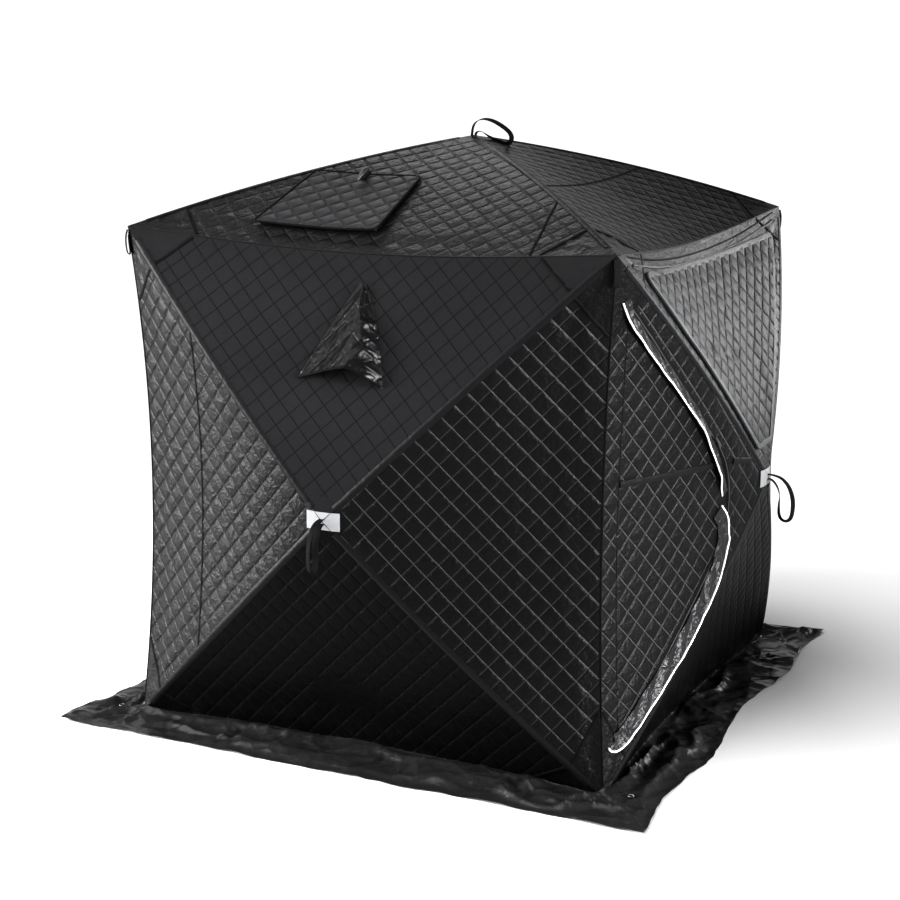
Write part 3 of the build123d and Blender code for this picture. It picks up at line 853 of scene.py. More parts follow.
# the straps' routes in millimetres: out from the hub, and along a wall's height or the roof's x
WALL_STRAP = [(0, 7), (32, 7), (66, -3), (91, -30), (105, -66), (108, -100), (105, -132)]
WALL_STRAP += [(98, -149), (82, -156), (66, -149), (58, -131), (57, -98), (60, -64)]
WALL_STRAP += [(48, -30), (25, -7), (0, -7)]
ROOF_STRAP = [(0, -7), (34, -7), (62, 8), (73, 40), (66, 76), (50, 108), (32, 136), (14, 150)]
ROOF_STRAP += [(-6, 148), (-16, 131), (-10, 108), (0, 80), (14, 52), (27, 30), (26, 14)]
ROOF_STRAP += [(16, 7), (0, 7)]


def strap_line(points):
    """The smooth line of a spline whose control points are the route's."""
    curve = bpy.data.curves.new("route", "CURVE")
    curve.dimensions = "3D"
    curve.resolution_u = 8
    spline = curve.splines.new("NURBS")
    spline.points.add(len(points) - 1)
    for control, p in zip(spline.points, points):
        control.co = (*p, 1)
    spline.order_u = 3
    spline.use_endpoint_u = True
    holder = placed("route", curve)
    mesh = bpy.data.meshes.new_from_object(holder)
    line = np.array([v.co for v in mesh.vertices], float)
    bpy.data.objects.remove(holder)
    bpy.data.meshes.remove(mesh)
    return line


def running(line):
    """The direction of travel at each point of a line."""
    run = np.gradient(line, axis=0)
    return run / np.linalg.norm(run, axis=1)[:, None]


def ribbon(name, line, rings, width, material):
    """Skins the rings along a line, with the cloth's length and girth as its UV."""
    count = len(rings[0])
    along = np.concatenate([[0], np.cumsum(np.linalg.norm(np.diff(line, axis=0), axis=1))])
    uv = np.column_stack([np.repeat(along, count), np.tile(np.linspace(0, 2 * width, count), len(line))])
    return loft(name, np.array(rings), [material], False, uv)


FLAT_BAR = [(-1, -0.6), (-0.9, -1), (0.9, -1), (1, -0.6), (1, 0.6), (0.9, 1), (-0.9, 1), (-1, 0.6)]


def webbing(name, line, across, width, thickness, material, twist=0.0):
    """Flat webbing along a line, its width along across and turned by up to twist on the way."""
    rings = []
    for k, ahead in enumerate(running(line)):
        wide = unit(across - (across @ ahead) * ahead)
        thin = np.cross(ahead, wide)
        share = k / (len(line) - 1)
        angle = twist * math.sin(math.pi * share) ** 2 * (0.75 + 0.25 * math.sin(11 * share))
        cosine, sine = math.cos(angle), math.sin(angle)
        wide, thin = cosine * wide + sine * thin, cosine * thin - sine * wide
        rings.append([line[k] + wide * a * width / 2 + thin * b * thickness / 2 for a, b in FLAT_BAR])
    return ribbon(name, line, rings, width, material)


for face in FACES:
    out = face["out"]
    route = ROOF_STRAP if face is ROOF else WALL_STRAP
    across_route = vec(1, 0, 0) if face is ROOF else vec(0, 0, 1)
    foot = hub_point(face) - out * (POLE_INSET - HUB_HALF_HEIGHT)
    control = [foot + out * a / 1000 + across_route * b / 1000 for a, b in route]
    line = strap_line(control)
    node = f"{face['name']}_pull_strap"
    wide = np.cross(out, across_route)
    strap = webbing(f"{node}_webbing", line, wide, STRAP_WIDTH, 0.002, WEBBING, 1.1)
    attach(strap, "roof_panel_right" if face is ROOF else f"{face['name']}_hub")
    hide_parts(node)


# ---- fabric panels ------------------------------------------------------------------------
# how far a corner patch reaches along the outer edge and along the seam
TOP_PATCH = (0.262, 0.180)
BOTTOM_PATCH = (0.29, 0.15)
ROOF_PATCH = (0.27, 0.21)
HUB_PLAIN = 0.075


def patch_lines(panel):
    """For each of a panel's two corner patches, the ends of the line that bounds it."""
    found = []
    for corner, number in ((panel.left, panel.number), (panel.right, panel.number + 1)):
        if panel.face is ROOF:
            reach = ROOF_PATCH
        else:
            reach = BOTTOM_PATCH if number % 4 in (0, 1) else TOP_PATCH
        inward = -np.sign(corner[0])
        on_edge = corner + vec(inward * reach[0], 0)
        on_seam = corner + unit(panel.apex - corner) * reach[1]
        found.append((on_edge, on_seam, corner))
    return found


def beyond(line, uv):
    """Distance past a patch's line, positive on the hub's side."""
    a, b, corner = line
    run = unit(b - a)
    normal = vec(-run[1], run[0])
    side = np.sign((corner - a) @ normal)
    return -(uv - a) @ normal * side


# lines of stitching that cross a panel from seam to seam: two points for each
LEVEL_SEAM = [((-0.57, 0.325), (0.57, 0.325))]
ROOF_SEAM = [((-0.45, 0.44), (0.45, 0.44))]
CROSS_SEAMS = {
    "front_panel_left": LEVEL_SEAM,
    "right_panel_front": [((-0.140, 0.0), (-0.128, 0.60)), ((-0.128, 0.60), (-0.105, 0.82))],
    "right_panel_back": [((0.12, 0.0), (0.10, 0.82))],
    "roof_panel_right": ROOF_SEAM,
    "roof_panel_left": ROOF_SEAM,
    "roof_panel_front": [((0.592, 0.0), (0.566, 0.345))],
    "back_panel_right": LEVEL_SEAM,
    "left_panel_back": LEVEL_SEAM,
}


def quilt_mask_of(panel):
    lines = patch_lines(panel)

    def mask(uv):
        value = smooth(np.linalg.norm(uv - panel.apex, axis=1), HUB_PLAIN, HUB_PLAIN + 0.012)
        for line in lines:
            value = value * smooth(beyond(line, uv), 0.0, 0.010)
        for a, b in CROSS_SEAMS.get(panel.name, []):
            value = value * smooth(edge_distance(np.array([a, b]), uv, False), 0.001, 0.009)
        if panel is RIGHT_TOP:
            value = value * smooth(uv[:, 1], 0.066, 0.078)
        if panel is FRONT_BOTTOM:
            past_tag = (np.abs(uv - vec(*TAG_CENTRE)) - vec(*TAG_HALF)).max(1)
            value = value * smooth(past_tag, 0.0, 0.008)
        return value

    return mask


def patch_rise_of(panel):
    """The corner patch is a second layer, and its loose cloth gathers towards the corner."""
    lines = patch_lines(panel)

    def rise(uv):
        value = np.zeros(len(uv))
        for k, line in enumerate(lines):
            within = smooth(-beyond(line, uv), -0.004, 0.006)
            d = uv - line[2]
            r = np.linalg.norm(d, axis=1)
            angle = np.arctan2(d[:, 1], np.abs(d[:, 0]))
            creases = ridged(np.column_stack([angle * 6, r * 3]), 1.0, 2, panel.seed + 21 + k)
            creases = (creases - 0.5) * 0.008
            seam = smooth(panel.seam_distance(uv), 0.0, 0.03)
            free = smooth(r, 0.02, 0.10) * smooth(uv[:, 1], 0.0, 0.04) * seam
            value += within * (0.0012 + creases * free)
        return value

    return rise


def door_outline(margin, foot, count=9):
    """The door's D: two straight sides, a round nose and a straight base at foot."""
    side = unit(vec(*DOOR_SIDE))
    half_turn = math.atan2(DOOR_SIDE[0], -DOOR_SIDE[1])
    radius = DOOR_NOSE + margin
    point = DOOR_POINT + margin / side[0]
    centre = vec(0, point - radius / math.sin(half_turn))
    half = (point - foot) * -DOOR_SIDE[0] / DOOR_SIDE[1]
    swing = math.pi / 2 - half_turn
    turns = np.linspace(-swing, swing, count)
    nose = [centre + radius * vec(-math.sin(t), math.cos(t)) for t in turns]
    return np.array([(-half, foot), (half, foot), *nose])


def filleted(corners, radius, count=5):
    """A convex outline with its corners rounded."""
    corners = [vec(*c) for c in corners]
    found = []
    for k, corner in enumerate(corners):
        to_last = unit(corners[k - 1] - corner)
        to_next = unit(corners[(k + 1) % len(corners)] - corner)
        half_angle = math.acos(np.clip(to_last @ to_next, -1, 1)) / 2
        centre = corner + unit(to_last + to_next) * radius / math.sin(half_angle)
        start = corner + to_last * radius / math.tan(half_angle) - centre
        end = corner + to_next * radius / math.tan(half_angle) - centre
        sweep = math.pi - 2 * half_angle
        for step in np.linspace(0, 1, count):
            a = math.sin((1 - step) * sweep) / math.sin(sweep)
            b = math.sin(step * sweep) / math.sin(sweep)
            found.append(centre + start * a + end * b)
    return np.array(found)


def window_outline(grow):
    """The window's triangle, point towards the hub, grown on every side."""
    half = 0.690 - 2.4 * (0.062 - grow)
    return filleted([(-half, 0.134 - grow), (half, 0.134 - grow), (0, 0.679 + 1.5 * grow)], 0.04)


DOOR_BASE = 0.072
DOOR_BEND = 0.035  # the strip above the door's base that bends as it opens
HOLES = {
    "right_panel_front": door_outline(0.003, DOOR_BASE - 0.002),
    "right_panel_top": window_outline(0.0),
}
# lit and shaded copies of the shell cloth: painted shade and painted highlight on the front-right panels,
# painted sheen on the front top
SHELLS = {"front_panel_right": PAINTED_HIGHLIGHT_SHELL, "right_panel_front": PAINTED_HIGHLIGHT_SHELL,
          "front_panel_top": PAINTED_SHEEN_SHELL}
# the bottom triangles take the copy with painted shade
SHELLS.update({f"{side}_panel_bottom": PAINTED_SHADE_SHELL for side in ("front", "right", "back", "left")})


def area_of(outline):
    following = np.roll(outline, -1, axis=0)
    return abs(np.sum(outline[:, 0] * following[:, 1] - following[:, 0] * outline[:, 1])) / 2


for panel in PANELS.values():
    piece = quilted(f"{panel.name}_fabric", panel, panel.outline(), HOLES.get(panel.name),
                    puff=PUFF * (0.4 if panel is FRONT_TOP else 1.0),
                    quilt_mask=quilt_mask_of(panel), extra_lift=patch_rise_of(panel),
                    materials=[SHELLS.get(panel.name, QUILTED), LINING])
    bend(piece)
    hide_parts(panel.name)
    area = area_of(panel.outline())
    width, length = panel.width, panel.apex[1]
    if panel.name in HOLES:
        area -= area_of(HOLES[panel.name])
        length = min(length, 3.2 * area / width)
    for k, (on_edge, on_seam, corner) in enumerate(patch_lines(panel)):
        start = on_edge + (on_seam - on_edge) * 0.06
        end = on_edge + (on_seam - on_edge) * 0.97
        binding = strip(f"{panel.name}_patch_binding_{k}", panel, [start, (start + end) / 2, end],
                        band(0.012, 0.0028), BINDING)
        bend(binding)


for name, runs in CROSS_SEAMS.items():
    panel = PANELS[name]
    for k, (a, b) in enumerate(runs):
        a, b = vec(*a), vec(*b)
        if panel is not RIGHT_FRONT:
            share = np.linspace(0, 1, 60)[:, None]
            inner = (a + (b - a) * share)[panel.seam_distance(a + (b - a) * share) > 0.012]
            a, b = inner[0], inner[-1]
            sewn = strip(f"{name}_cross_seam_{k}", panel, [a, (a + b) / 2, b], band(0.010, 0.0022), BINDING)
            bend(sewn)


# ---- seams over the poles, edge piping, poles ---------------------------------------------
def ridge(name, line, normal, width, height, material):
    """A low rounded rib along a line in space."""
    shape = [(-1, -0.9), (-0.55, 0.35), (-0.2, 0.9), (0.2, 0.9), (0.55, 0.35), (1, -0.9), (0, -1.3)]
    rings = []
    for spot, ahead in zip(line, running(line)):
        side = unit(np.cross(normal, ahead))
        top = unit(np.cross(ahead, side))
        rings.append([spot + side * a * width / 2 + top * b * height for a, b in shape])
    return ribbon(name, line, rings, width, material)


for face in FACES:
    out = face["out"]
    for corner, end_name in zip(face["corners"], face["poles"]):
        node = f"{face['name']}_pole_{end_name}"
        line = seam_curve(face, corner, np.linspace(0.050, 0.955, 70))
        seam_rib = ridge(f"{node}_seam", line, out, SEAM_WIDTH, SEAM_HEIGHT, PLAIN)
        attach(seam_rib, node)

        radial = unit(corner - face["foot"])
        tangent = np.cross(out, radial)
        pin = hub_point(face) - out * POLE_INSET + radial * PIN_REACH
        tip = corner - out * POLE_INSET - radial * 0.030
        share = np.linspace(0, 1, 60)
        shaft = pin + np.outer(share, tip - pin) + np.outer(face["bow"] * 0.9 * 4 * share * (1 - share), out)
        shaft = shaft[share * np.linalg.norm(tip - pin) > 0.012]
        pole = tube(f"{node}_rod", shaft, ROD_RADIUS, [FIBRE])
        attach(pole, node)
        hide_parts(node)
        ferrule_line = shaft[0] + np.outer(np.linspace(0, FERRULE_LENGTH, 7), unit(shaft[2] - shaft[0]))
        ferrule_size = [0.0065, 0.0080, 0.0080, 0.0076, 0.0080, 0.0080, 0.0068]
        ferrule = tube(f"{node}_ferrule", ferrule_line, ferrule_size, [STEEL], 14)
        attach(ferrule, node)
        eye_line = pin + np.outer(np.linspace(-0.004, 0.004, 4), tangent)
        eye = tube(f"{node}_eye", eye_line, [0.0072, 0.008, 0.008, 0.0072], [STEEL], 18)
        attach(eye, node)
        boot_line = shaft[-1] + np.outer(np.linspace(-0.036, 0.004, 7), unit(shaft[-1] - shaft[-3]))
        boot_size = [0.0062, 0.0075, 0.0075, 0.0072, 0.0075, 0.0072, 0.004]
        boot = tube(f"{node}_boot", boot_line, boot_size, [RUBBER], 14)
        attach(boot, node)

share = np.linspace(0, 1, 90)
for k, face in enumerate(FACES[:4]):
    a, b = face["corners"][1], face["corners"][2]
    outward = unit(vec(a[0], a[1], 0))
    line = a + np.outer(share, b - a) + edge_shift(a, b, share) + outward * 0.0005
    post = tube(f"corner_piping_{k}", line[2:-1], EDGE_PIPING, [BINDING], 8)
    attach(post, "root")
    a, b = face["corners"][2], face["corners"][3]
    line = a + np.outer(share, b - a) + edge_shift(a, b, share)
    eave = tube(f"eave_piping_{k}", line[1:-1], 0.0030, [PLAIN], 8)
    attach(eave, "root")
    a, b = face["corners"][0], face["corners"][1]
    line = a + np.outer(share, b - a) + edge_shift(a, b, share) + face["out"] * 0.002 + vec(0, 0, 0.016)
    hem = tube(f"base_hem_{k}", line[1:-1], 0.0055, [BINDING], 8)
    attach(hem, "root")


# ---- hub patches --------------------------------------------------------------------------
for face in FACES[:4]:
    for number in range(4):
        panel = PANELS[f"{face['name']}_panel_{face['panels'][number]}"]
        ax, av = panel.apex
        if number % 2 == 0:
            outline = np.array([(ax - 0.029, av - 0.030), (ax + 0.029, av - 0.030), (ax, av - 0.002)])
        else:
            outline = np.array([(ax - 0.030, av - 0.0625), (ax + 0.030, av - 0.0625),
                                (ax + 0.030, av - 0.032), (ax, av - 0.002), (ax - 0.030, av - 0.032)])
        piece = quilted(f"{panel.name}_hub_tape", panel, outline, lift=0.0032, puff=0.0, thick=0.0012,
                        materials=[SILVER])
        bend(piece)


# ---- door, storm flaps, zip ---------------------------------------------------------------
DOOR_EDGE = door_outline(-0.001, DOOR_BASE)
# the door takes the front-right panels' cloth, with its painted shade and painted highlight
door = quilted("door_fabric", RIGHT_FRONT, DOOR_EDGE, quilt_mask=quilt_mask_of(RIGHT_FRONT),
               materials=[PAINTED_HIGHLIGHT_SHELL, LINING])
bend_between(door, "right_panel_front", "door", RIGHT_FRONT, DOOR_BASE, DOOR_BASE + DOOR_BEND)
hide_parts("door")

door_band = strip("door_cross_band", RIGHT_FRONT, [(-0.140, 0.075), (-0.135, 0.35), (-0.128, 0.60)],
                  band(0.022, 0.0045), PLAIN)
bend_between(door_band, "right_panel_front", "door", RIGHT_FRONT, DOOR_BASE, DOOR_BASE + DOOR_BEND)
hub_band = strip("hub_side_cross_band", RIGHT_FRONT, [(-0.126, 0.672), (-0.108, 0.785)],
                 band(0.022, 0.0045), PLAIN)
bend(hub_band)

zip_path = door_outline(0.001, DOOR_BASE)[1:]
zip_path = np.vstack([zip_path, [(-zip_path[0][0], DOOR_BASE)]])
zip_tape = strip("door_zip_tape", RIGHT_FRONT, zip_path, band(0.026, 0.0030), BINDING,
                 passes=0)
bend(zip_tape)
zip_coil = strip("door_zip_coil", RIGHT_FRONT, zip_path, band(0.006, 0.0052), ZIP_METAL,
                 passes=0)
bend(zip_coil)


def free_edge(share, free_lift, seed, base_lift):
    """A flap's loose edge along its line: height, sway and how free it is of its fixed ends."""
    spot = np.array([[share * 9.0, 0.37]])
    wave = float(noise(spot, 1.0, seed)[0])
    ripple = float(noise(spot, 3.3, seed + 5)[0])
    ease = min(1.0, 12 * share, 12 * (1 - share))
    lift = base_lift + (free_lift * (0.75 + 0.45 * wave) + 0.0025 * ripple) * ease
    return lift, 0.006 * wave * ease, ease


def storm_flap(name, line, width, free_lift, seed, base_lift, piping_radius):
    """A flap with white piping on its free edge, which runs along the line. The flap is sewn down
    at width to the left of that line, or to the right where width is negative."""
    thick = 0.0024

    def section(share):
        lift, sway, ease = free_edge(share, free_lift, seed, base_lift)
        top = []
        for k in range(7):
            t = k / 6
            ripple = 0.002 * math.sin(t * 7 + share * 55) * ease
            rise = base_lift + (lift - base_lift) * (1 - t) ** 1.6 + ripple
            top.append((math.copysign(1, width) * sway * (1 - t) + width * t, rise))
        return top + [(x, z - thick) for x, z in reversed(top)]

    def edge(share):
        return piping(piping_radius, free_edge(share, free_lift, seed, base_lift)[0])

    return (strip(f"{name}_storm_flap", RIGHT_FRONT, line, section, STORM, 0.010),
            strip(f"{name}_flap_piping", RIGHT_FRONT, line, edge, WHITE, 0.010))


UPPER_FLAP = [(-0.728, 0.038), (-0.662, 0.064), (-0.597, 0.130), (-0.537, 0.186), (-0.386, 0.346),
              (-0.268, 0.462), (-0.153, 0.544), (-0.052, 0.596), (-0.015, 0.612)]
LOWER_FLAP = [(0.018, 0.608), (0.055, 0.640), (0.092, 0.650), (0.161, 0.645), (0.255, 0.594), (0.359, 0.510),
              (0.449, 0.420), (0.605, 0.238), (0.680, 0.150), (0.722, 0.098), (0.738, 0.054), (0.731, 0.030),
              (0.718, 0.024)]

for piece in storm_flap("upper", UPPER_FLAP, 0.034, 0.017, 11, 0.0045, 0.0031):
    bend(piece)
for piece in storm_flap("lower", LOWER_FLAP, -0.058, 0.008, 29, 0.0065, 0.0035):
    bend_between(piece, "right_panel_front", "door", RIGHT_FRONT, DOOR_BASE, DOOR_BASE + DOOR_BEND)


def squared(part):
    """Turns a sine or cosine into a side of a rectangle with rounded corners."""
    return math.copysign(abs(part) ** 0.6, part)


def zip_slider(node, down):
    """A zip slider and its pull on the track beside the door."""
    side_run = unit(vec(down * DOOR_SIDE[0], DOOR_SIDE[1]))
    away = vec(-side_run[1] * down, side_run[0] * down)
    place = vec(0, DOOR_POINT) + side_run * 0.275 + away * 0.003
    base = RIGHT_FRONT.at([place], 0.003)[0]
    ahead = unit(RIGHT_FRONT.at([place + side_run * 0.01], 0.003)[0] - base)
    side = unit(np.cross(RIGHT_FRONT.z, ahead))
    normal = np.cross(ahead, side)
    for label, length, width, low, high, shift in (("body", 0.026, 0.013, 0.001, 0.007, 0.0),
                                                   ("pull", 0.042, 0.009, 0.0074, 0.0094, 0.021)):
        rings = []
        for lift, shrink in ((low, 0.86), (low + 0.0006, 1.0), (high - 0.0006, 1.0), (high, 0.82)):
            ring = [base + ahead * (shift + squared(math.cos(t)) * length / 2 * shrink)
                    + side * (squared(math.sin(t)) * width / 2 * shrink) + normal * lift for t in around(20)]
            rings.append(ring)
        piece = loft(f"{node}_{label}", np.array(rings), [ZIP_METAL])
        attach(piece, node)
        if label == "body":
            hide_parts(node)


zip_slider("zip_slider_upper", -1)
zip_slider("zip_slider_lower", 1)


# ---- window, its cover and the eave band --------------------------------------------------
pane = quilted("window_pane_sheet", RIGHT_TOP, window_outline(0.009), lift=-0.0075, puff=0.0, thick=0.001,
               materials=[VINYL])
bend(pane)
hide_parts("window_pane")
pane_frame = strip("window_frame_tape", RIGHT_TOP, HOLES["right_panel_top"], band(0.030, 0.0020), BINDING,
                   closed=True, passes=1)
bend(pane_frame)

COVER_EDGE = filleted([(-0.715, 0.074), (0.722, 0.070), (0.082, 0.772), (-0.070, 0.772)], 0.022)


def cover_lift(uv):
    """The cover sags between its fastenings and is creased across the middle."""
    crease = edge_distance(np.array([(0.403, 0.336), (0.22, 0.40), (0.028, 0.436)]), uv, False)
    hang = 0.003 * smooth(edge_distance(COVER_EDGE, uv), 0.0, 0.10)
    ripples = 0.0022 * noise(uv, np.array([16.0, 4.0]), 77)
    return hang - 0.006 * np.exp(-((crease / 0.012) ** 2)) + ripples * smooth(uv[:, 1], 0.08, 0.16)


# the window cover's lighter cloth is painted sheen
cover = quilted("window_cover_fabric", RIGHT_TOP, COVER_EDGE, lift=0.0095, puff=0.0030, thick=0.005,
                extra_lift=cover_lift, materials=[PAINTED_SHEEN_COVER, LINING])
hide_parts("window_cover")
cover_tape = strip("window_cover_tape", RIGHT_TOP, COVER_EDGE, lambda share: [
    (0.017, 0.0090), (-0.002, 0.0040), (-0.003, 0.0080), (-0.002, 0.0118), (0.008, 0.0126), (0.017, 0.0120)],
    TAPE_LIGHT, closed=True, passes=1)
for piece in (cover, cover_tape):
    bend_between(piece, "right_panel_top", "window_cover", RIGHT_TOP, *COVER_BEND)

for k, (level, width) in enumerate(((0.0385, 0.006), (0.0655, 0.008))):
    ends = 0.80 if k == 0 else 0.77
    line = [(-ends, level - 0.028), (-0.5, level - 0.006), (-0.2, level + 0.002), (0.2, level + 0.002),
            (0.5, level - 0.006), (ends, level - 0.028)]
    piece = strip(f"eave_band_tape_{k}", RIGHT_TOP, line, band(width, 0.0035),
                  TAPE_LIGHT if k else BINDING)
    bend(piece)


# ---- roof vent under its flap -------------------------------------------------------------
def flap_lift(uv):
    """The flap is sewn at its upper edge and stands off the roof at its lower one."""
    low = smooth(-uv[:, 1], -0.49, -0.05)
    corner = np.exp(-(np.linalg.norm(uv - vec(0.0, 0.11), axis=1) / 0.12) ** 2)
    return 0.006 * low + 0.007 * corner + 0.0015 * noise(uv, 7.0, 91)


FLAP_EDGE = np.array([(-0.458, 0.102), (0.000, 0.110), (-0.008, 0.505), (-0.402, 0.480)])
# the flap takes the cover cloth, whose lighter base colour is painted sheen
flap = quilted("roof_vent_flap_fabric", ROOF_FRONT, FLAP_EDGE, lift=0.010, puff=0.0034, thick=0.004,
               extra_lift=flap_lift, materials=[PAINTED_SHEEN_COVER, LINING])
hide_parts("roof_vent_flap")


def raised(panel, lift_of):
    """A panel whose surface is raised by lift_of, for trim sewn to a flap's edge."""

    class Raised:
        def at(self, uv, lift=0.0):
            uv = np.atleast_2d(np.asarray(uv, float))
            return panel.at(uv, np.asarray(lift, float) + lift_of(uv))

    return Raised()


FLAP_TOP = raised(ROOF_FRONT, flap_lift)
flap_edge = strip("roof_vent_flap_piping", FLAP_TOP, resample(FLAP_EDGE, 0.03, True),
                  lambda share: piping(0.0042, 0.0095), BINDING, closed=True, passes=1)
toggle_base = strip("roof_vent_toggle_tab", FLAP_TOP, [(-0.208, 0.500), (-0.209, 0.47), (-0.211, 0.445)],
                    band(0.013, 0.0180, base=0.0155), WEBBING)
toggle_line = FLAP_TOP.at([(-0.208, 0.497), (-0.2085, 0.485), (-0.2095, 0.468), (-0.211, 0.450),
                           (-0.2125, 0.435), (-0.2135, 0.424), (-0.214, 0.419)],
                          [0.026, 0.034, 0.036, 0.033, 0.029, 0.025, 0.022])
toggle = tube("roof_vent_toggle", toggle_line, [0.004, 0.0075, 0.0095, 0.0085, 0.006, 0.0045, 0.002],
              [PLASTIC], 12)
for piece in (flap, flap_edge, toggle_base, toggle):
    bend_between(piece, "roof_panel_front", "roof_vent_flap", ROOF_FRONT, *FLAP_BEND)

vent_outline = np.array([(-0.40, 0.16), (-0.045, 0.16), (-0.06, 0.44), (-0.37, 0.44)])
vent_mesh = netting("roof_vent_mesh", ROOF_FRONT, vent_outline)
bend(vent_mesh)
vent_frame = strip("roof_vent_frame", ROOF_FRONT, vent_outline, band(0.022, 0.0050), BINDING,
                   closed=True, passes=0, step=0.02)
bend(vent_frame)


# ---- front vent hood and stay -------------------------------------------------------------
def hood_sheet():
    """The hood's crumpled shell, from its sewn point down to the open mouth."""
    t, c = np.meshgrid(np.linspace(0, 1, HOOD_ROWS), np.linspace(-1, 1, HOOD_COLUMNS), indexing="ij")
    left_u = 0.008 - 0.160 * t
    right_u = 0.032 + 0.129 * t**0.85 + 0.010 * np.sin(math.pi * t)
    v_end = 0.413 + np.where(c < 0.35, 0.024 * np.abs(0.35 - c) ** 1.4, 0.084 * np.abs(c - 0.35) ** 1.4)
    v = 0.110 + (v_end - 0.110) * t
    w = (c + 1) / 2
    u = left_u * (1 - w) + right_u * w
    peak = 0.004 + 0.074 * t**0.9
    left_face = 1 - np.clip((0.35 - c) / 1.35, 0, 1) ** 1.25
    right_face = 1 - np.clip((c - 0.35) / 0.65, 0, 1) ** 2.4
    shape = np.minimum(left_face, right_face)
    flat = np.column_stack([u.ravel(), v.ravel()])
    free = smooth(shape.ravel(), 0.0, 0.4)
    right_side = smooth(c.ravel(), 0.22, 0.5)
    folded = np.column_stack([c.ravel() * 1.1 + t.ravel() * 0.9, t.ravel() * 6.2])
    cross = (ridged(folded, 1.0, 2, 5) - 0.55) * 0.024 * right_side
    across = np.column_stack([flat[:, 0] * 10 + flat[:, 1] * 7, flat[:, 1] * 5])
    slant = (ridged(across, 1.0, 2, 9) - 0.5) * 0.006
    fine = fbm(flat, 45.0, 2, 13) * 0.0012
    h = (peak * shape).ravel() + free * (cross + slant * (1 - 0.7 * right_side) + fine)
    h = np.maximum(h, 0.0012)
    top = FRONT_TOP.at(np.column_stack([-flat[:, 0], flat[:, 1]]), h + 0.0035)
    under = FRONT_TOP.at(np.column_stack([-flat[:, 0] * 0.985, flat[:, 1]]), np.maximum(h - 0.0012, 0.0028))
    quads = grid_quads(np.arange(HOOD_ROWS * HOOD_COLUMNS).reshape(HOOD_ROWS, HOOD_COLUMNS)).tolist()
    return top, under, turned(quads, top, FRONT_TOP.z), flat


hood_top, hood_under, hood_faces, hood_uv = hood_sheet()
hood_lines = np.column_stack([hood_uv[:, 1] - hood_uv[:, 0], hood_uv[:, 1] + hood_uv[:, 0]]) / (CELL * 1.42)
hood_inside = smooth(hood_uv[:, 1], 0.13, 0.17)
hood = closed_sheet("front_vent_hood_shell", hood_top, hood_under, hood_faces, [HOOD, LINING], hood_uv,
                    {"quilt": hood_inside, "q1": hood_lines[:, 0], "q2": hood_lines[:, 1]}, sharp=70)
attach(hood, "front_panel_top")
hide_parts("front_vent_hood")
mouth = hood_top[-HOOD_COLUMNS:]
hood_hem = tube("front_vent_hood_hem", mouth[1:-1], 0.0045, [BINDING], 8)
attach(hood_hem, "front_panel_top")
hood_opening = np.array([(-0.06, 0.215), (0.04, 0.215), (0.10, 0.385), (-0.11, 0.385)])
hood_backing = netting("front_vent_mesh", FRONT_TOP, hood_opening)
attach(hood_backing, "front_panel_top")

stay_foot = FRONT_TOP.at([(0.0, 0.392)], 0.0055)[0]
stay_line = stay_foot + np.outer(np.linspace(0, 0.046, 9), FRONT_TOP.z)
stay_shape = [(-1, -0.6), (-0.8, -1), (0.8, -1), (1, -0.6), (1, 0.6), (0.8, 1), (-0.8, 1), (-1, 0.6)]
stay_rings = []
for k, centre in enumerate(stay_line):
    grow = 0.8 if k in (0, 8) else 1.0
    stay_rings.append([centre + (FRONT_TOP.x * a * 0.006 + FRONT_TOP.y * b * 0.002) * grow
                       for a, b in stay_shape])
stay = loft("front_vent_stay_bar", np.array(stay_rings), [PLASTIC])
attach(stay, "front_vent_stay")
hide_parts("front_vent_stay")


# ---- corner tabs --------------------------------------------------------------------------
for k, corner in enumerate(ROOF["corners"]):
    outward = unit(vec(corner[0], corner[1], 0))
    across = np.cross(outward, [0, 0, 1])
    drop = np.array([(0.004, -0.012), (0.010, -0.030), (0.011, -0.060), (0.007, -0.090), (0.000, -0.098),
                     (-0.004, -0.090), (0.000, -0.060), (0.001, -0.030)])
    line = np.array([corner + outward * (a - 0.002) + vec(0, 0, b) for a, b in rounded(drop, 2)])
    tab = webbing(f"corner_tab_{k}", line, across, 0.022, 0.0022, WEBBING)
    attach(tab, "root")


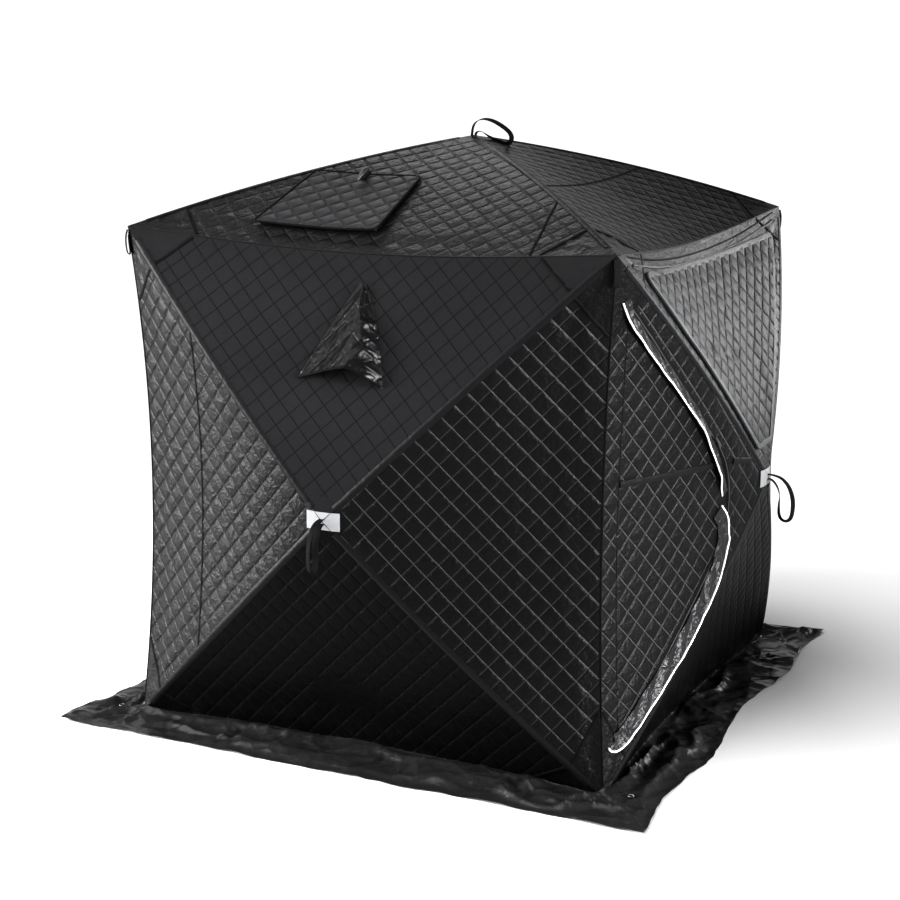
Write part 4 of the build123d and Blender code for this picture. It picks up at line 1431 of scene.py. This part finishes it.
# ---- snow skirt ---------------------------------------------------------------------------
def skirt_sheet():
    """One crumpled ring of thin cloth, mitred at the corners, that lies on the ice."""
    per_side, across = 300, 36
    rings = []
    flats = []
    for quarter in range(4):
        s = np.linspace(-1, 1, per_side, endpoint=False)
        w = np.linspace(0, 1, across)
        ss, ww = np.meshgrid(s, w, indexing="ij")
        inner = HALF - SKIRT_TUCK
        inner_x, inner_y = ss * inner, -inner + BASE_DRAW * (1 - ss**2)
        drawn = (1 - ss**4) * (0.008 if quarter == 0 else 0.026 + 0.022 * np.sin(7.3 * ss + quarter))
        outer_x, outer_y = ss * SKIRT_REACH, -SKIRT_REACH + drawn
        x = inner_x * (1 - ww) + outer_x * ww
        y = inner_y * (1 - ww) + outer_y * ww
        c, sn = math.cos(quarter * math.pi / 2), math.sin(quarter * math.pi / 2)
        px, py = x * c - y * sn, x * sn + y * c
        corner = (1 - np.abs(ss)) * HALF
        rings.append(np.stack([px, py, ww, corner], axis=-1))
        flats.append(np.stack([ss * HALF + 2 * quarter, ww * SKIRT_WIDTH], axis=-1))
    grid = np.concatenate(rings)
    flat = np.concatenate(flats)
    n, m = grid.shape[:2]
    p = grid[:, :, :2].reshape(-1, 2)
    w = grid[:, :, 2].ravel()
    corner = grid[:, :, 3].ravel()
    warp = np.column_stack([fbm(p, 4.0, 2, 3), fbm(p, 4.0, 2, 4)]) * 0.06
    q = p + warp
    cloth = flat.reshape(-1, 2)
    run = np.column_stack([cloth[:, 0] + 0.7 * cloth[:, 1], cloth[:, 1]])
    along = 1 - np.abs(noise(run + warp, np.array([2.6, 11.0]), 7)) ** 0.8
    facets = 1 - np.abs(noise(q, 5.2, 21)) ** 0.9
    creases = 1 - np.abs(noise(q @ np.array([[0.6, -0.8], [0.8, 0.6]]), np.array([9.0, 15.0]), 33)) ** 0.8
    small = ridged(q, 31.0, 2, 43) - 0.5
    z = 0.001 + 0.030 * (along - 0.35) + 0.030 * (facets - 0.35) + 0.014 * (creases - 0.4) + 0.006 * small
    z = z * smooth(w, -0.15, 0.35)
    mitre = np.exp(-((corner / (0.012 + 0.03 * w)) ** 2))
    z = z + 0.012 * mitre * smooth(w, 0.05, 0.5)
    z = z * (1 - 0.8 * smooth(w, 0.62, 1.0))
    hem = 0.024 * np.exp(-((w / 0.055) ** 2)) + 0.010 * np.exp(-((w / 0.16) ** 2))
    edge = 0.004 * (noise(p, 13.0, 41) + 0.4) * smooth(w, 0.86, 1.0)
    z = np.maximum(z, 0) + hem + edge + 0.0022
    z = np.clip(z, 0.0022, 0.05)
    loose = smooth(w, 0.3, 1.0)
    outward = p / np.maximum(np.abs(p).max(1), 1e-6)[:, None]
    move = outward * (0.007 * noise(p, 7.0, 61) + 0.003 * noise(p, 23.0, 62))[:, None] * loose[:, None]
    top = np.column_stack([p + move, z])
    under = top - vec(0, 0, 0.0012)
    quads = grid_quads(np.arange(n * m).reshape(n, m), wrap=True).tolist()
    return top, under, turned(quads, top, vec(0, 0, 1)), cloth


skirt_top, skirt_under, skirt_faces, skirt_uv = skirt_sheet()
skirt = closed_sheet("snow_skirt_sheet", skirt_top, skirt_under, skirt_faces, [SKIRT], skirt_uv, sharp=80)
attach(skirt, "root")
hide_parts("snow_skirt")

for k, (sx, sy) in enumerate(((-1, -1), (1, -1), (1, 1), (-1, 1))):
    centre = vec(GROMMET_AT[0] * sx, GROMMET_AT[1] * sy)
    near = np.linalg.norm(skirt_top[:, :2] - centre, axis=1) < 0.014
    height = skirt_top[near][:, 2].max() + 0.001
    ring_line = [(*(centre + GROMMET_RADIUS * vec(math.cos(t), math.sin(t))), height) for t in around(28)]
    ring = tube(f"anchor_grommet_{k}", ring_line, 0.0026, [GROMMET], 8, closed=True)
    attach(ring, "root")

for name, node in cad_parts.items():
    if name.endswith("_hub") or name == "corner_sockets":
        node.data.materials.clear()
        node.data.materials.append(PLASTIC)


# ---- floor, light -------------------------------------------------------------------------
FLOOR, floor_graph, floor_shader, floor_place = new_material("pale_floor")
floor_drift = floor_graph.noise(floor_place, 0.6, 2.0)
floor_graph.feed(floor_shader["Base Color"],
                 floor_graph.tint(floor_drift, (0.80, 0.80, 0.80), (0.83, 0.83, 0.83)))
floor_shader["Roughness"].default_value = 0.8
floor_shader["Specular IOR Level"].default_value = 0.1
floor_ring = [(FLOOR_RADIUS * math.cos(t), FLOOR_RADIUS * math.sin(t), FLOOR_LEVEL) for t in around(96)]
floor_faces = [(0, 1 + k, 1 + (k + 1) % 96) for k in range(96)]
floor = build("floor", [(0, 0, FLOOR_LEVEL)] + floor_ring, floor_faces, [FLOOR])

# the sky is bright only behind the shelter, as the camera sees it
world = bpy.data.worlds.new("studio")
world.use_nodes = True
sky = Graph(world.node_tree)
direction = sky.node("TexCoord", "Generated", {})
facing = sky.node("VectorMath", "Value", {0: direction, 1: (-0.4288, 0.9034, 0.0)}, operation="DOT_PRODUCT")
background = world.node_tree.nodes["Background"].inputs
background["Color"].default_value = (1.0, 1.0, 1.0, 1)
sky.feed(background["Strength"], sky.ramp(facing, 0.80, 0.96, 0.16, 1.1))
bpy.context.scene.world = world

sun_data = bpy.data.lights.new("overhead", "SUN")
sun_data.energy = 5.2
sun_data.angle = math.radians(70)
aim(placed("overhead", sun_data), (0.48, 0.40, -0.78))


def softbox(name, place, target, size, power, spread):
    data = bpy.data.lights.new(name, "AREA")
    data.shape = "RECTANGLE"
    data.size, data.size_y = size
    data.energy = power
    data.spread = math.radians(spread)
    lamp = placed(name, data)
    lamp.location = place
    aim(lamp, Vector(target) - Vector(place))


softbox("left_light", (-5.4, -3.4, 1.5), (-0.6, -0.8, 1.0), (2.8, 2.8), 225, 70)
softbox("right_light", (4.2, 6.0, 2.6), (0.9, 0, 1.9), (2.6, 2.6), 20, 36)
softbox("roof_light", (-4.2, 5.6, 7.4), (0, 0, 2.0), (2.6, 2.6), 12, 50)
softbox("corner_light", (6.3, -1.6, 1.9), (1.2, -0.85, 1.0), (1.2, 2.6), 62, 27)
softbox("hood_light", (5.4, -3.0, 2.6), (-0.05, -1.1, 1.45), (0.8, 0.8), 6.5, 12)
bpy.context.scene.view_settings.view_transform = "Standard"
bpy.context.scene.view_settings.gamma = 0.84
